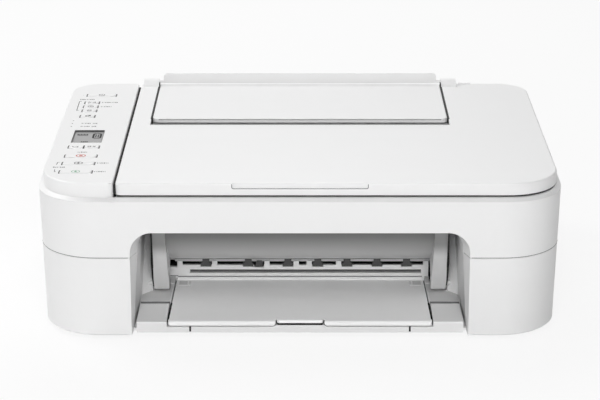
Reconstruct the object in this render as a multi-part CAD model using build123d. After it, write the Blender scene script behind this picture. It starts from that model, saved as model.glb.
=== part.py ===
from build123d import *
import os
from math import asin, atan2, cos, degrees, hypot, pi, radians, sin, sqrt

# Flatbed inkjet multifunction printer, in millimetres.
# X runs to the right, Y to the back and Z up. The origin is under the middle of the body, on the table.

# Housing
body_width = 435.0
body_depth = 316.0
body_height = 145.0
foot_height = 4.5
foot_bevel = 1.2
rim_height = 121.8
ledge_height = 123.2
seam_height = 73.0
seam_gap = 0.6
seam_bevel = 0.5
wall = 2.5
side_draft = 2.8
front_draft = 1.0
front_corner_radius = 50.0
rear_corner_radius = 30.0
half_width = body_width / 2
half_depth = body_depth / 2
floor_top = foot_height + wall

# Ribs, bosses and windows of the housing
rib_width = 1.6
floor_rib_front = 66.0
floor_rib_rear = 120.0
floor_rib_top = 12.0
board_boss_radius = 3.0
board_boss_top = 16.0
window_gap = 0.3
inlet_left = -196.0
inlet_right = -176.0
inlet_base = 14.0
inlet_top = 30.0
port_left = 150.0
port_right = 162.0
port_base = 17.6
port_top = 29.0
slot_count = 6
slot_first = -168.0
slot_pitch = 7.0
slot_width = 2.6
rear_cover_half_width = 105.0
rear_cover_base = 18.0
rear_cover_top = 92.0
rear_cover_gap = 0.4

# Top cover and operation panel
cover_front = -151.0
cover_rear = 154.0
cover_half_width = 213.5
cover_base = 125.4
cover_top = 135.5
cover_front_radius = 43.0
cover_rear_radius = 28.0
cover_split = -150.5
panel_right = -152.5
small_radius = 5.0
skin = 2.2

# Paper support, which lies in a recess of the top cover
recess_half_width = 133.5
recess_front = 17.0
recess_floor = 129.7
recess_floor_thickness = 1.5
support_half_width = 132.5
support_front = 36.0
support_thickness = 3.8
support_axis_y = 151.0
support_axis_z = cover_top - support_thickness / 2
support_pin_radius = 1.5
rear_rail_half_width = 129.6
rear_rail_front = 155.2
lug_inner = 133.5
lug_outer = 148.0
lug_top = 140.0
grip_half_width = 55.7
grip_depth = 1.0
pad_base = 125.3
pad_top = 126.6

# Hinge of the top cover
hinge_axis_y = 150.0
hinge_axis_z = 128.6
hinge_pin_radius = 1.5
hinge_barrel_radius = 4.4
hinge_pocket_inner = 137.0
hinge_pocket_outer = 147.0
running_clearance = 0.06

# Scanner
glass_left = -140.0
glass_right = 176.0
glass_front = -144.0
glass_rear = 83.0
glass_top = 125.0
glass_thickness = 2.4
frame_top = 125.2
frame_base = 117.0
scan_floor = 100.0
scan_rod_y = -30.0
scan_rod_z = 106.2
scan_rod_radius = 3.0
paper_slot_half_width = 118.5
paper_slot_front = 92.5
paper_slot_rear = 146.5
tray_left = -149.0
tray_right = 208.0
tray_wall_front = -145.6
tray_wall_rear = 90.0
tray_skin = 2.0
head_left = -134.0
head_right = -112.0
head_front = -138.0
head_rear = 77.0
head_base = 109.8
head_top = 120.8

# Output bay, the arch between the two legs
bay_half_width = 139.6
bay_top = 95.0
bay_corner_radius = 18.0
bay_throat_half_width = 138.4
bay_throat_top_half_width = 133.7
bay_throat_top = 93.0
bay_throat_y = -143.7
cheek_y = -88.0
cheek_turn = -77.0
cheek_end = -73.5
cheek_inner = 127.2
side_wall = 2.2
side_wall_top = 92.4
throat_corner_radius = 16.0
shelf_top = 14.0
shelf_thickness = 2.0
shelf_front = -103.5
shelf_gap = 0.8
shelf_skirt = 112.2
runner_front = -107.0
runner_top = 11.5
bay_back = -50.6
ramp_front = -61.5
ramp_front_top = 14.9
ramp_rear_top = 17.0
ramp_width = 3.7
groove_width = 0.7
groove_depth = 0.9

# Output cover, hinged at the lower ends of its two arms
door_axis_y = -79.0
door_axis_z = 22.0
door_boss_radius = 5.8
door_pin_radius = 2.0
door_pin_end = 131.6
door_arm_outer = 125.4
door_arm_outer_top = 123.0
door_arm_inner = 112.6
door_arm_thickness = 2.6
door_arm_taper_base = 28.0
door_top_y = -133.0
door_top_z = 91.0
door_middle = (-100.8, 60.6)
door_foot_y = -60.0
door_foot_z = 37.5
door_thickness = 2.4
door_web = 2.0

# Output tray and its extension
tray_half_width = 136.0
tray_front = -150.0
tray_wing_rear = -108.5
tray_plate_half_width = 111.0
tray_plate_rear = -52.0
tray_plate_base = 7.3
tray_plate_thickness = 1.5
tray_wall = 1.6
tray_wall_top = 9.4
tray_wall_rise = 11.0
tray_slot_x = 91.5
tray_slot_width = 1.6
tray_runner = 2.0
extension_front_half_width = 110.0
extension_rear_half_width = 108.0
extension_top = 14.0
extension_thickness = 2.0
extension_lip_top = 14.5
extension_lip_base = 10.6
extension_lip_depth = 6.0
extension_corner_radius = 2.5
notch_relief = 1.7
extension_rear = -50.4
extension_rim_top = 16.6
extension_rib_base = 10.4
notch_half_width = 20.4
notch_back = -143.5
tab_half_width = 19.2
tab_base = 12.9
tab_top = 15.3
tab_rear = -137.0

# Paper feed and exit
feed_axis_y = 22.0
feed_axis_z = 17.0
feed_radius = 7.4
exit_axis_y = -39.0
exit_axis_z = 22.0
exit_ring_radius = 4.5
exit_shaft_radius = 3.0
exit_beam_front = -49.6
exit_beam_rear = -46.6
exit_beam_base = 15.0
exit_beam_top = 27.0
exit_beam_left = -114.0
exit_beam_right = 112.4
exit_step_x = -107.4
exit_step_top = 25.3
exit_slot = (-96.4, 106.1, 19.5, 22.9)
finger_top = 30.7
finger_half_width = 2.3
star_axis_z = 31.2
star_radius = 4.0
star_axle_radius = 0.8
star_rail_left = -109.5
star_rail_right = 113.3
star_rail_reach = 121.0
star_rail_front = -47.9
star_rail_rear = -33.0
star_rail_base = 29.9
star_rail_top = 31.9
star_rail_web = 30.7
star_flange = 1.4
star_flange_top = 35.6
holder_half_width = 3.0
holder_foot_half_width = 4.5
holder_front = -49.4
holder_base = 28.0
holder_foot = 25.6
holder_top = 34.4
notch_clearance = 0.1
paper_sensor_x = -35.6
star_places = (-82.4, -45.3, -10.6, 15.6, 41.2, 67.5, 93.3)
finger_places = (-105.1, -74.7, -28.9, -3.3, 8.0, 33.8, 110.0)
pickup_axis_y = 78.5
pickup_axis_z = 63.4
pickup_radius = 16.0
pickup_shaft_radius = 4.0
hopper_foot_y = 87.0
hopper_foot_z = 47.0
hopper_run = 55.0
hopper_rise = 74.0
hopper_half_width = 118.0

# Gear train on the left side of the paper feed
gear_module = 0.8
gear_left = -176.0
gear_right = -171.0
feed_teeth = 20
exit_teeth = 20
idler_teeth = 72
pinion_teeth = 10
gear_wall_left = -182.0
gear_wall_right = -179.0
pinion_angle = 37.0

# Carriage, parked at the right
carriage_left = 131.0
carriage_right = 193.0
carriage_rod_y = 28.0
carriage_rod_z = 46.0
carriage_rod_radius = 4.0
rod_left = -211.4
rod_right = 211.4
column_width = 5.0
rail_y = 36.0
rail_thickness = 1.2
belt_left = -150.0
belt_right = 198.0
belt_z = 65.0
pulley_radius = 5.0
lock_axis_y = 15.5
lock_axis_z = 71.0

# Buttons: name, centre X, centre Y, length along X, width along Y
small_cap = 12.0
long_cap = 26.0
cap_width = 7.6
button_places = (
    ("button_power", -184.8, 112.1, long_cap),
    ("button_wireless", -191.5, 86.9, small_cap),
    ("button_information", -191.5, 73.7, small_cap),
    ("button_direct", -191.5, 60.4, small_cap),
    ("button_paper", -191.5, 42.5, small_cap),
    ("button_copies", -192.2, -50.9, small_cap),
    ("button_fit", -179.0, -50.9, small_cap),
    ("button_stop", -185.5, -76.9, long_cap),
    ("button_black_start", -185.5, -97.6, long_cap),
    ("button_color_start", -185.5, -120.6, long_cap),
)
cap_proud = 0.5
cap_radius = 2.2
cap_bevel = 0.3
key_gap = 0.2
key_base = 132.2
key_flange_side = 0.45
key_flange_end = 0.7
key_flange_thickness = 1.4
plunger_radius = 1.3
display_left = -198.2
display_right = -171.8
display_front = -37.8
display_rear = -0.3
display_depth = 1.3
display_gap = 0.15
board_top = 127.6
board_thickness = 1.6


def block(x0, x1, y0, y1, z0, z1):
    """A box between two corners."""
    size = Box(x1 - x0, y1 - y0, z1 - z0)
    return Pos((x0 + x1) / 2, (y0 + y1) / 2, (z0 + z1) / 2) * size


def rod_x(x0, x1, y, z, radius):
    """A round bar along X."""
    return Pos((x0 + x1) / 2, y, z) * Rot(0, 90, 0) * Cylinder(radius, x1 - x0)


def rod_y(x, y0, y1, z, radius):
    """A round bar along Y."""
    return Pos(x, (y0 + y1) / 2, z) * Rot(90, 0, 0) * Cylinder(radius, y1 - y0)


def rod_z(x, y, z0, z1, radius):
    """A round bar along Z."""
    return Pos(x, y, (z0 + z1) / 2) * Cylinder(radius, z1 - z0)


def outline(points, radii, z=0.0):
    """A flat face at height z whose corners are rounded."""
    return Pos(0, 0, z) * make_face(FilletPolyline(*points, radius=radii, close=True))


def slab(points, radii, z0, z1):
    """A plate with rounded corners between two heights."""
    return extrude(outline(points, radii, z0), z1 - z0)


def rectangle(x0, x1, y0, y1):
    """The corners of a rectangle, front left first."""
    return [(x0, y0), (x1, y0), (x1, y1), (x0, y1)]


def side_profile(points, x0, x1):
    """A closed outline of (Y, Z) points carried along X."""
    face = make_face(Plane.YZ * Polyline(*points, close=True))
    return Pos(x0, 0, 0) * extrude(face, x1 - x0, dir=(1, 0, 0))


def body_section(z, inset):
    """The outline of the housing at height z, drawn in by a wall thickness."""
    drop = (rim_height - z) / (rim_height - foot_height)
    half = half_width - side_draft * drop - inset
    depth = half_depth - front_draft * drop - inset
    front = front_corner_radius - inset
    rear = rear_corner_radius - inset
    return outline(rectangle(-half, half, -depth, depth), [front, front, rear, rear], z)


def body_loft(z0, z1, inset):
    """The tapered block of the housing between two heights."""
    return loft([body_section(z0, inset), body_section(z1, inset)], ruled=True)


def cover_points(inset):
    """The outline of the whole top, panel and cover together."""
    half = cover_half_width - inset
    return rectangle(-half, half, cover_front + inset, cover_rear - inset)


def cover_radii(inset):
    """The corner radii that go with cover_points."""
    front = cover_front_radius - inset
    rear = cover_rear_radius - inset
    return [front, front, rear, rear]


def arch_face(base_half, top_half, top, radius, y):
    """The arch outline in the plane Y = y, open to the table."""
    points = [(-base_half, foot_height), (base_half, foot_height), (top_half, top), (-top_half, top)]
    shape = make_face(FilletPolyline(*points, radius=[0, 0, radius, radius], close=True))
    return Plane(origin=(0, y, 0), x_dir=(1, 0, 0), z_dir=(0, -1, 0)) * shape


def arch_funnel():
    """The returns of the arch: a thin funnel that narrows from the front face to the throat."""
    front = -half_depth + 0.4
    narrow = bay_throat_y
    inner = loft([
        arch_face(bay_half_width, bay_half_width, bay_top, bay_corner_radius, front - 0.6),
        arch_face(bay_throat_half_width, bay_throat_top_half_width, bay_throat_top, throat_corner_radius,
                  narrow + 0.1),
    ], ruled=True)
    outer = loft([
        arch_face(bay_half_width + wall, bay_half_width + wall, bay_top + wall, bay_corner_radius + wall, front),
        arch_face(bay_throat_half_width + wall, bay_throat_top_half_width + wall, bay_throat_top + wall,
                  throat_corner_radius + wall, narrow),
    ], ruled=True)
    return outer - inner


def arch_cutter():
    """What the arch removes from the front wall."""
    face = arch_face(bay_half_width, bay_half_width, bay_top, bay_corner_radius, -half_depth - 2)
    return extrude(face, 6, dir=(0, 1, 0))


def lower_housing():
    """Bottom casing: floor, outer walls, the fronts of both legs and the lower returns of the arch."""
    bevel_top = foot_height + foot_bevel
    crown = seam_height - seam_bevel
    casing = body_loft(bevel_top, crown, 0)
    casing += loft([body_section(foot_height, foot_bevel), body_section(bevel_top, 0)], ruled=True)
    casing += loft([body_section(crown, 0), body_section(seam_height, seam_bevel)], ruled=True)
    casing -= body_loft(floor_top, seam_height + 2, wall)
    casing -= arch_cutter()
    # The floor ends behind the output tray's front wall
    floor_front = -145.8
    casing -= block(-bay_half_width, bay_half_width, -half_depth - 1, floor_front, 0, floor_top + 0.1)
    casing += arch_funnel() & block(-200, 200, -half_depth, bay_throat_y, floor_top - 2, seam_height)
    casing += locating_lip()
    # Bosses that carry the logic board
    for x in (140, 198):
        for y in (72, 132):
            casing += rod_z(x, y, floor_top - 1, board_boss_top, board_boss_radius)
    # Stiffening ribs across the floor behind the print unit
    for x in (-100, -50, 0, 50, 100):
        casing += rib_x(x, floor_rib_front, floor_rib_rear, floor_top - 0.5, floor_rib_top)
    casing -= rear_cover_opening()
    casing -= rear_window(inlet_left, inlet_right, inlet_base, inlet_top)
    casing -= rear_window(port_left, port_right, port_base, port_top)
    # Cooling slots beside the power supply, in the rear wall and in the floor
    for index in range(slot_count):
        x = slot_first + index * slot_pitch
        casing -= block(x, x + slot_width, 150, 160, 34, 54)
        casing -= block(x, x + slot_width, 84, 124, foot_height - 1, floor_top + 1)
    return casing


def locating_lip():
    """Lip inside the seam, which the upper housing drops over, left out at the arch and the rear cover."""
    lip_wall = 1.4
    lip = body_loft(seam_height - 6, seam_height + 3, wall)
    lip -= body_loft(seam_height - 7, seam_height + 4, wall + lip_wall)
    lip -= block(-145, 145, -160, -100, 0, 100)
    return lip - block(-112, 112, 140, 160, 0, 100)


def rib_x(x, y0, y1, z0, z1):
    """A thin upright rib along Y whose middle lies at x."""
    return block(x - rib_width / 2, x + rib_width / 2, y0, y1, z0, z1)


def rear_window(x0, x1, z0, z1):
    """What a socket's window removes from the rear wall."""
    return block(x0 - window_gap, x1 + window_gap, 140, 160, z0 - window_gap, z1 + window_gap)


def upper_housing():
    """Upper casing: walls, the bar over the arch, the ledge round the top and the hinge posts."""
    deck = 119.5
    casing = body_loft(seam_height + seam_gap, rim_height, 0)
    casing += ledge()
    # Groove in the ledge where the operation panel ends
    groove = panel_right + 0.4
    casing -= block(groove, groove + 0.6, -half_depth - 1, cover_front, rim_height + 0.1, 125)
    casing -= body_loft(seam_height - 1, deck, wall)
    ledge_width = 2.6
    casing -= slab(cover_points(ledge_width), cover_radii(ledge_width), deck - 1.5, 126)
    casing -= arch_cutter()
    casing += arch_funnel() & block(-200, 200, -half_depth, bay_throat_y, seam_height + seam_gap, 110)
    # Floor under the operation panel, with a beam along its open edge
    panel_floor = deck - wall
    casing += body_loft(panel_floor, deck, wall - 0.2) & block(-220, panel_right - 0.1, -160, 160, 110, 125)
    casing += block(-156, -153.2, -150, 150, 96, panel_floor + 0.2)
    # Ribs that the scanner tray rests on
    rest = scan_floor - 0.2
    casing += block(-150, 150, -156.4, -146, rest - 2.6, rest)
    casing += block(205, 215.6, -100, 80, rest - 3.2, rest)
    casing += block(-153.4, -147, -100, 80, rest - 3.2, rest)
    for side in (-1, 1):
        casing = add_hinge_post(casing, side)
    return casing - rear_cover_opening()


def ledge():
    """The sloping ledge between the walls and the foot of the cover."""
    return loft([body_section(rim_height, 0), outline(cover_points(0), cover_radii(0), ledge_height)], ruled=True)


def add_hinge_post(casing, side):
    """The casing with the post that carries one hinge pin of the top cover; side is -1 for the left one."""
    half_post = 4.0
    near = side * (hinge_pocket_inner + 0.6)
    far = side * (hinge_pocket_outer - 0.6)
    left, right = min(near, far), max(near, far)
    casing += block(left, right, hinge_axis_y - half_post, hinge_axis_y + half_post, 92, hinge_axis_z)
    casing += rod_x(left, right, hinge_axis_y, hinge_axis_z, hinge_barrel_radius)
    casing += block(left, right, hinge_axis_y + 3, 156.4, 92, 100)
    return casing - rod_x(left - 1, right + 1, hinge_axis_y, hinge_axis_z, hinge_pin_radius + running_clearance)


def rear_cover_opening():
    """The hole in the rear walls that the rear cover closes."""
    return block(-rear_cover_half_width, rear_cover_half_width, 151, 160, rear_cover_base, rear_cover_top)


def rear_cover():
    """Removable cover at the back, with ribs and a finger recess."""
    outer_face = 156.9
    thickness = 2.2
    inner_face = outer_face - thickness
    half = rear_cover_half_width - rear_cover_gap
    corners = rectangle(-half, half, rear_cover_base + rear_cover_gap, rear_cover_top - rear_cover_gap)
    cover = Pos(0, outer_face, 0) * Rot(90, 0, 0) * slab(corners, [3] * 4, 0, thickness)
    for x in (-90, -60, -30, 30, 60, 90):
        cover += rib_x(x, inner_face - 3.9, inner_face + 0.2, 26, 84)
    cover += block(-98, 98, inner_face - 3.1, inner_face + 0.2, 30, 30 + rib_width)
    finger_recess = extrude(SlotOverall(46, 16), 1.2)
    return cover - Pos(0, outer_face + 0.1, 60) * Rot(90, 0, 0) * finger_recess


def extension_half_width(y):
    """Half the width of the tray extension where it lies at depth y."""
    share = (y - tray_front) / (extension_rear - tray_front)
    return extension_front_half_width + share * (extension_rear_half_width - extension_front_half_width)


def bay_side():
    """Left inner wall of the output bay, with the cheek that holds the cover's pivot and the side shelf."""
    base = [(-138.4, -143.5), (-136.6, cheek_y), (-cheek_inner, cheek_turn), (-cheek_inner, cheek_end)]
    top = [(-133.6, -143.5), (-130.3, cheek_y), (-126.3, cheek_turn), (-126.3, cheek_end)]
    low = make_face(Polyline(*base, *[(x - side_wall, y) for x, y in reversed(base)], close=True))
    high = make_face(Polyline(*top, *[(x - side_wall, y) for x, y in reversed(top)], close=True))
    side = loft([Pos(0, 0, floor_top) * low, Pos(0, 0, side_wall_top) * high], ruled=True)
    side += bay_shelf()
    # Shadow groove where the shelf meets the wall
    share = (shelf_top - floor_top) / (side_wall_top - floor_top)
    foot = [(low_x + share * (high_x - low_x), y) for (low_x, y), (high_x, y) in zip(base[1:], top[1:])]
    foot.insert(0, (foot[0][0] - 0.4, shelf_front - 1))
    groove = make_face(Polyline(*foot, *[(x + groove_width, y) for x, y in reversed(foot)], close=True))
    side -= extrude(Pos(0, 0, shelf_top - groove_depth) * groove, groove_depth + 0.1)
    return side - rod_x(-140, -126, door_axis_y, door_axis_z, door_pin_radius + running_clearance)


def bay_shelf():
    """Shelf beside the tray extension, with its inner skirt and the small ramp at its rear end."""
    wall_x = -137.0
    front_edge = extension_half_width(shelf_front) + shelf_gap
    rear_edge = extension_half_width(bay_back) + shelf_gap
    points = [(wall_x, shelf_front), (-front_edge, shelf_front), (-rear_edge, bay_back), (-128, bay_back),
              (-128, -78), (wall_x, cheek_y)]
    plate = make_face(Polyline(*points, close=True))
    shelf = extrude(Pos(0, 0, shelf_top - shelf_thickness) * plate, shelf_thickness)
    shelf += block(-shelf_skirt - 1.8, -shelf_skirt, shelf_front, bay_back, floor_top, shelf_top - 1)
    ramp_right = -rear_edge - 0.2
    ramp_left = ramp_right - ramp_width
    ramp = [(ramp_front, shelf_top - 1), (ramp_front, ramp_front_top), (bay_back, ramp_rear_top),
            (bay_back, shelf_top - 1)]
    shelf += side_profile(ramp, ramp_left, ramp_right)
    return shelf - block(ramp_left - 0.1, -105, ramp_front - groove_width, ramp_front, shelf_top - groove_depth, 16)


def scanner_frame():
    """Frame round the platen glass, which sits on the ledge and carries the top cover's front edge."""
    plate = slab(rectangle(-150, 210.4, -148.2, 151.2), [3, 40, 25, 3], frame_base, ledge_height)
    plate += slab(rectangle(-149.8, 212, -149.4, 144), [4, 41, 3, 3], ledge_height, frame_top)
    seat = 4.0
    plate -= block(glass_left + seat, glass_right - seat, glass_front + seat, glass_rear - seat, 110, 130)
    plate -= block(glass_left, glass_right, glass_front, glass_rear, glass_top - glass_thickness, 130)
    plate -= block(-paper_slot_half_width, paper_slot_half_width, paper_slot_front, paper_slot_rear, 110, 130)
    plate -= slab(rectangle(-146, 200, -142, 148), [3, 36, 21, 3], 110, frame_base + 3.6)
    # Webs that stay under the plate beside the paper slot
    web = 2.8
    for side in (-1, 1):
        x = side * (paper_slot_half_width + web / 2)
        plate += block(x - web / 2, x + web / 2, 88, 147, frame_base, 121)
    pocket_half = (hinge_pocket_outer - hinge_pocket_inner) / 2 + 0.2
    for side in (-1, 1):
        centre = side * (hinge_pocket_inner + hinge_pocket_outer) / 2
        plate -= block(centre - pocket_half, centre + pocket_half, 144.6, 156, 110, 130)
    return plate


def platen_glass():
    """Glass that the original lies on."""
    gap = 0.1
    glass = block(glass_left + gap, glass_right - gap, glass_front + gap, glass_rear - gap,
                  glass_top - glass_thickness, glass_top)
    return chamfer(glass.edges().group_by(Axis.Z)[-1], 0.4)


def scanner_tray():
    """Floor and walls of the scanner, under the glass."""
    corners = rectangle(tray_left, tray_right, tray_wall_front, tray_wall_rear)
    tray = slab(corners, [4, 40, 4, 4], scan_floor, frame_base)
    corners = rectangle(tray_left + tray_skin, tray_right - tray_skin, tray_wall_front + tray_skin,
                        tray_wall_rear - tray_skin)
    tray -= slab(corners, [3, 38, 3, 3], scan_floor + tray_skin, frame_base + 1)
    for y in (-104, -72, 28, 60):
        tray += block(tray_left + 1.5, 160, y - rib_width / 2, y + rib_width / 2, scan_floor + 1.5, scan_floor + 3.4)
    return tray


def scan_head():
    """Sensor bar that travels under the glass, with its slide block on the guide rod."""
    bar = slab(rectangle(head_left, head_right, head_front, head_rear), [3] * 4, head_base, head_top)
    half_block = 8.0
    shell = 2.0
    near, far = scan_rod_y - half_block, scan_rod_y + half_block
    for y0, y1 in ((head_front + 4, near - 6), (far + 6, head_rear - 4)):
        bar -= block(head_left + shell, head_right - shell, y0, y1, head_base - 1, head_base + 2.2)
    lens = block(head_left + 7, head_right - 7, head_front + 6, head_rear - 6, head_top - 0.3, head_top + 1.3)
    slide_block = block(head_left, head_right, near, far, 102.5, head_base + 0.2)
    bore = rod_x(head_left - 1, head_right + 1, scan_rod_y, scan_rod_z, scan_rod_radius + running_clearance)
    return bar + lens + slide_block - bore


def scan_guide_rod():
    """Steel rod that the scan head slides on, from wall to wall of the tray."""
    return rod_x(tray_left + tray_skin, tray_right - tray_skin, scan_rod_y, scan_rod_z, scan_rod_radius)


def control_panel():
    """Cover plate of the operation panel, with holes for its buttons and the display."""
    points = rectangle(-cover_half_width, panel_right, cover_front, cover_rear)
    shell = slab(points, [cover_front_radius, small_radius, 4, cover_rear_radius], ledge_height, cover_top)
    shell = fillet(shell.edges().group_by(Axis.Z)[-1], 1.2)
    inner = rectangle(-cover_half_width + skin, panel_right - skin, cover_front + skin, cover_rear - skin)
    shell -= slab(inner, [cover_front_radius - skin, 3, 2, cover_rear_radius - skin], ledge_height - 1,
                  cover_top - skin)
    # The foot of the side wall follows the sloping ledge
    shell -= ledge()
    underside = cover_top - skin
    for name, x, y, length in button_places:
        hole = RectangleRounded(length + 2 * key_gap, cap_width + 2 * key_gap, cap_radius + key_gap)
        shell -= Pos(x, y, underside - 1) * extrude(hole, skin + 2)
    shell -= block(display_left - display_gap, display_right + display_gap, display_front - display_gap,
                   display_rear + display_gap, underside - 1, cover_top + 1)
    # Pillars that rest on the board
    for x, y in ((-206, 20), (-206, -70), (-162, 100), (-162, -70)):
        shell += rod_z(x, y, board_top, underside + 0.5, 2.2)
    return shell


def button(x, y, length):
    """One key: a bevelled cap, a flange that keeps it under the plate, and its plunger."""
    cap = extrude(RectangleRounded(length, cap_width, cap_radius), cover_top + cap_proud - key_base)
    cap = chamfer(cap.edges().group_by(Axis.Z)[-1], cap_bevel)
    flange = Box(length + 2 * key_flange_side, cap_width + 2 * key_flange_end, key_flange_thickness)
    plunger = rod_z(x, y, board_top + 1.2, key_base, plunger_radius)
    return Pos(x, y, key_base) * cap + Pos(x, y, key_base + 0.2) * flange + plunger


def panel_board():
    """Circuit board of the operation panel, on three pillars."""
    underside = board_top - board_thickness
    points = [(-205, -100), (-188, -128), (-158, -132), (-158, 136), (-196, 136), (-206, 118)]
    board = slab(points, [2] * 6, underside, board_top)
    for x, y in ((-200, -20), (-200, 50), (-163, 0)):
        board += rod_z(x, y, 119.5, underside, 2.5)
    return board


def lcd_display():
    """Display module: a body on the board, whose window lies below the panel's face."""
    module = block(display_left, display_right, display_front, display_rear, board_top, cover_top - display_depth)
    return chamfer(module.edges().group_by(Axis.Z)[-1], 0.3)


def document_cover():
    """Top cover: a thin shell with the recess for the paper support, hinge lugs and the rear rail."""
    points = rectangle(cover_split, cover_half_width, cover_front, cover_rear)
    shell = slab(points, [small_radius, cover_front_radius, cover_rear_radius, 4], cover_base, cover_top)
    shell = fillet(shell.edges().group_by(Axis.Z)[-1], 1.6)
    inner = rectangle(cover_split + skin, cover_half_width - skin, cover_front + skin, cover_rear - skin)
    cavity = slab(inner, [3, cover_front_radius - skin, cover_rear_radius - skin, 2], cover_base - 1,
                  cover_top - skin)
    basin_wall = 1.8
    basin = block(-recess_half_width - basin_wall, recess_half_width + basin_wall, recess_front - basin_wall,
                  cover_rear, recess_floor - recess_floor_thickness, 140)
    shell -= cavity - basin
    shell -= block(-recess_half_width, recess_half_width, recess_front, cover_rear + 1, recess_floor, 140)
    # Window over the rear paper feed
    shell -= block(-112, 112, 96, 146, 120, 135)
    # Ribs that stiffen the skin in front of the recess
    for x in (-120, -60, 0, 60, 120, 180):
        shell += rib_x(x, -146, recess_front - 7, 129.4, cover_top - skin + 0.2)
    for side in (-1, 1):
        shell = add_cover_lug(shell, side)
    # Finger grip in the front rim
    grip_base = 131.0
    grip = [(cover_front - 1, grip_base), (cover_front, grip_base), (cover_front + grip_depth, grip_base + 1),
            (cover_front + grip_depth, cover_top + 0.5), (cover_front - 1, cover_top + 0.5)]
    shell -= side_profile(grip, -grip_half_width, grip_half_width)
    # Low stop beside the right lug
    shell += block(lug_outer + 2.4, lug_outer + 14, 151.6, 153.4, cover_top - 0.5, cover_top + 0.9)
    return shell + rear_rail()


def add_cover_lug(shell, side):
    """The cover with one hinge lug, its pocket for the housing's post and the bores of both hinges."""
    near, far = side * lug_inner, side * lug_outer
    left, right = min(near, far), max(near, far)
    rear = 157.4
    profile = [(141, cover_top - 1), (cover_rear, cover_top - 1), (cover_rear, cover_top), (rear, cover_top),
               (rear, lug_top - 2), (rear - 2, lug_top), (149, lug_top), (143.4, lug_top - 3)]
    shell += side_profile(profile, left, right)
    shell += block(left, right, 142, cover_rear, cover_base, cover_top)
    pocket_left = min(side * hinge_pocket_inner, side * hinge_pocket_outer)
    pocket_right = pocket_left + hinge_pocket_outer - hinge_pocket_inner
    shell -= block(pocket_left, pocket_right, 141.4, 158, cover_base - 1, 134.4)
    shell -= rod_x(pocket_left - 2.5, pocket_right + 2.5, hinge_axis_y, hinge_axis_z, hinge_pin_radius)
    stub_left = min(near, near + side * 3.6)
    return shell - rod_x(stub_left - 0.2, stub_left + 3.8, support_axis_y, support_axis_z,
                         support_pin_radius + running_clearance)


def rear_rail():
    """Upright rail along the rear edge, joined to both lugs by short bars."""
    rear = 157.9
    profile = [(rear_rail_front, cover_top), (rear, cover_top), (rear, 142.8), (rear - 1.3, body_height),
               (rear_rail_front, body_height)]
    rail = side_profile(profile, -rear_rail_half_width, rear_rail_half_width)
    rail = fillet(rail.edges().filter_by(Axis.Y).group_by(Axis.Z)[-1], 4)
    for side in (-1, 1):
        near, far = side * (rear_rail_half_width - 0.6), side * (lug_inner + 1)
        rail += block(min(near, far), max(near, far), rear_rail_front, 157.4, cover_top, lug_top - 2)
    return rail


def cover_inner_plate():
    """Lower skin of the top cover."""
    inset = skin + 0.2
    corners = rectangle(cover_split + inset, cover_half_width - inset, cover_front + inset, 88)
    return slab(corners, [3, cover_front_radius - skin, 3, 3], pad_top, pad_top + 1.5)


def cover_pad():
    """White pad that presses the original on the glass."""
    return slab(rectangle(glass_left + 2, glass_right - 2, glass_front + 3, glass_rear - 3), [4] * 4, pad_base, pad_top)


def hinge_pins():
    """Two steel pins on which the top cover turns."""
    near, far = hinge_pocket_inner - 2.5, hinge_pocket_outer + 2.5
    left = rod_x(-far, -near, hinge_axis_y, hinge_axis_z, hinge_pin_radius)
    right = rod_x(near, far, hinge_axis_y, hinge_axis_z, hinge_pin_radius)
    return left, right


def paper_support():
    """Flap on top that lifts to hold the paper, ribbed underneath and rounded at its hinge."""
    base = cover_top - support_thickness
    points = rectangle(-support_half_width, support_half_width, support_front, support_axis_y)
    flap = slab(points, [5, 5, 0, 0], base, cover_top)
    flap = fillet(flap.edges().group_by(Axis.Z)[-1].group_by(Axis.Y)[0], 1.0)
    flap += rod_x(-support_half_width, support_half_width, support_axis_y, support_axis_z, support_thickness / 2)
    # Bays between the ribs of the underside
    bays = 6
    edge = 4.0
    half_rib = 0.9
    pitch = 2 * (support_half_width - edge) / bays
    for column in range(bays):
        x = -support_half_width + edge + column * pitch
        for y0, y1 in ((support_front + 5, 88), (90.5, 143)):
            flap -= block(x + half_rib, x + pitch - half_rib, y0, y1, base - 1, cover_top - 1.8)
    for side in (-1, 1):
        start = side * (support_half_width - 1)
        end = side * (lug_inner + 3.0)
        flap += rod_x(min(start, end), max(start, end), support_axis_y, support_axis_z, support_pin_radius)
    return flap


def hopper_point(distance, height):
    """A point given along the sloping hopper plate from its foot, and square off its face."""
    slope = atan2(hopper_rise, hopper_run)
    y = hopper_foot_y + distance * cos(slope) - height * sin(slope)
    z = hopper_foot_z + distance * sin(slope) + height * cos(slope)
    return (y, z)


def rear_hopper():
    """Sloping plate of the rear paper feed, with side frames that carry the pickup shaft and a lower chute."""
    length = hypot(hopper_rise, hopper_run)
    plate = side_profile([hopper_point(0, 0), hopper_point(length, 0), hopper_point(length, -2.4),
                          hopper_point(0, -2.4)], -hopper_half_width, hopper_half_width)
    foot = hopper_foot_y
    frame = [(foot, floor_top), (128, floor_top), (147, 60), (147, 116.8), (139.5, 116.8), (100, 64), (94, 72),
             (70, 72), (70, 54), (foot, 46)]
    frame_width = 3.0
    outer = hopper_half_width + 1
    for x in (-outer, outer - frame_width):
        plate += side_profile(frame, x, x + frame_width)
    chute = [(88.6, 45.2), (62, 27), (46, 22.4), (34, 21.4), (34, 19.6), (47, 20.4), (63, 25), (91, 44)]
    plate += side_profile(chute, -hopper_half_width + 1.5, hopper_half_width - 1.5)
    brace_base = floor_top + 5.2
    for x in (-100, -50, 0, 50, 100):
        brace = [(foot - 1, brace_base), (foot + 9, brace_base), (foot + 9, 50), (foot, 44)]
        plate += side_profile(brace, x - 0.9, x + 0.9)
    return plate - rod_x(-125, 125, pickup_axis_y, pickup_axis_z, pickup_shaft_radius + running_clearance)


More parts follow.
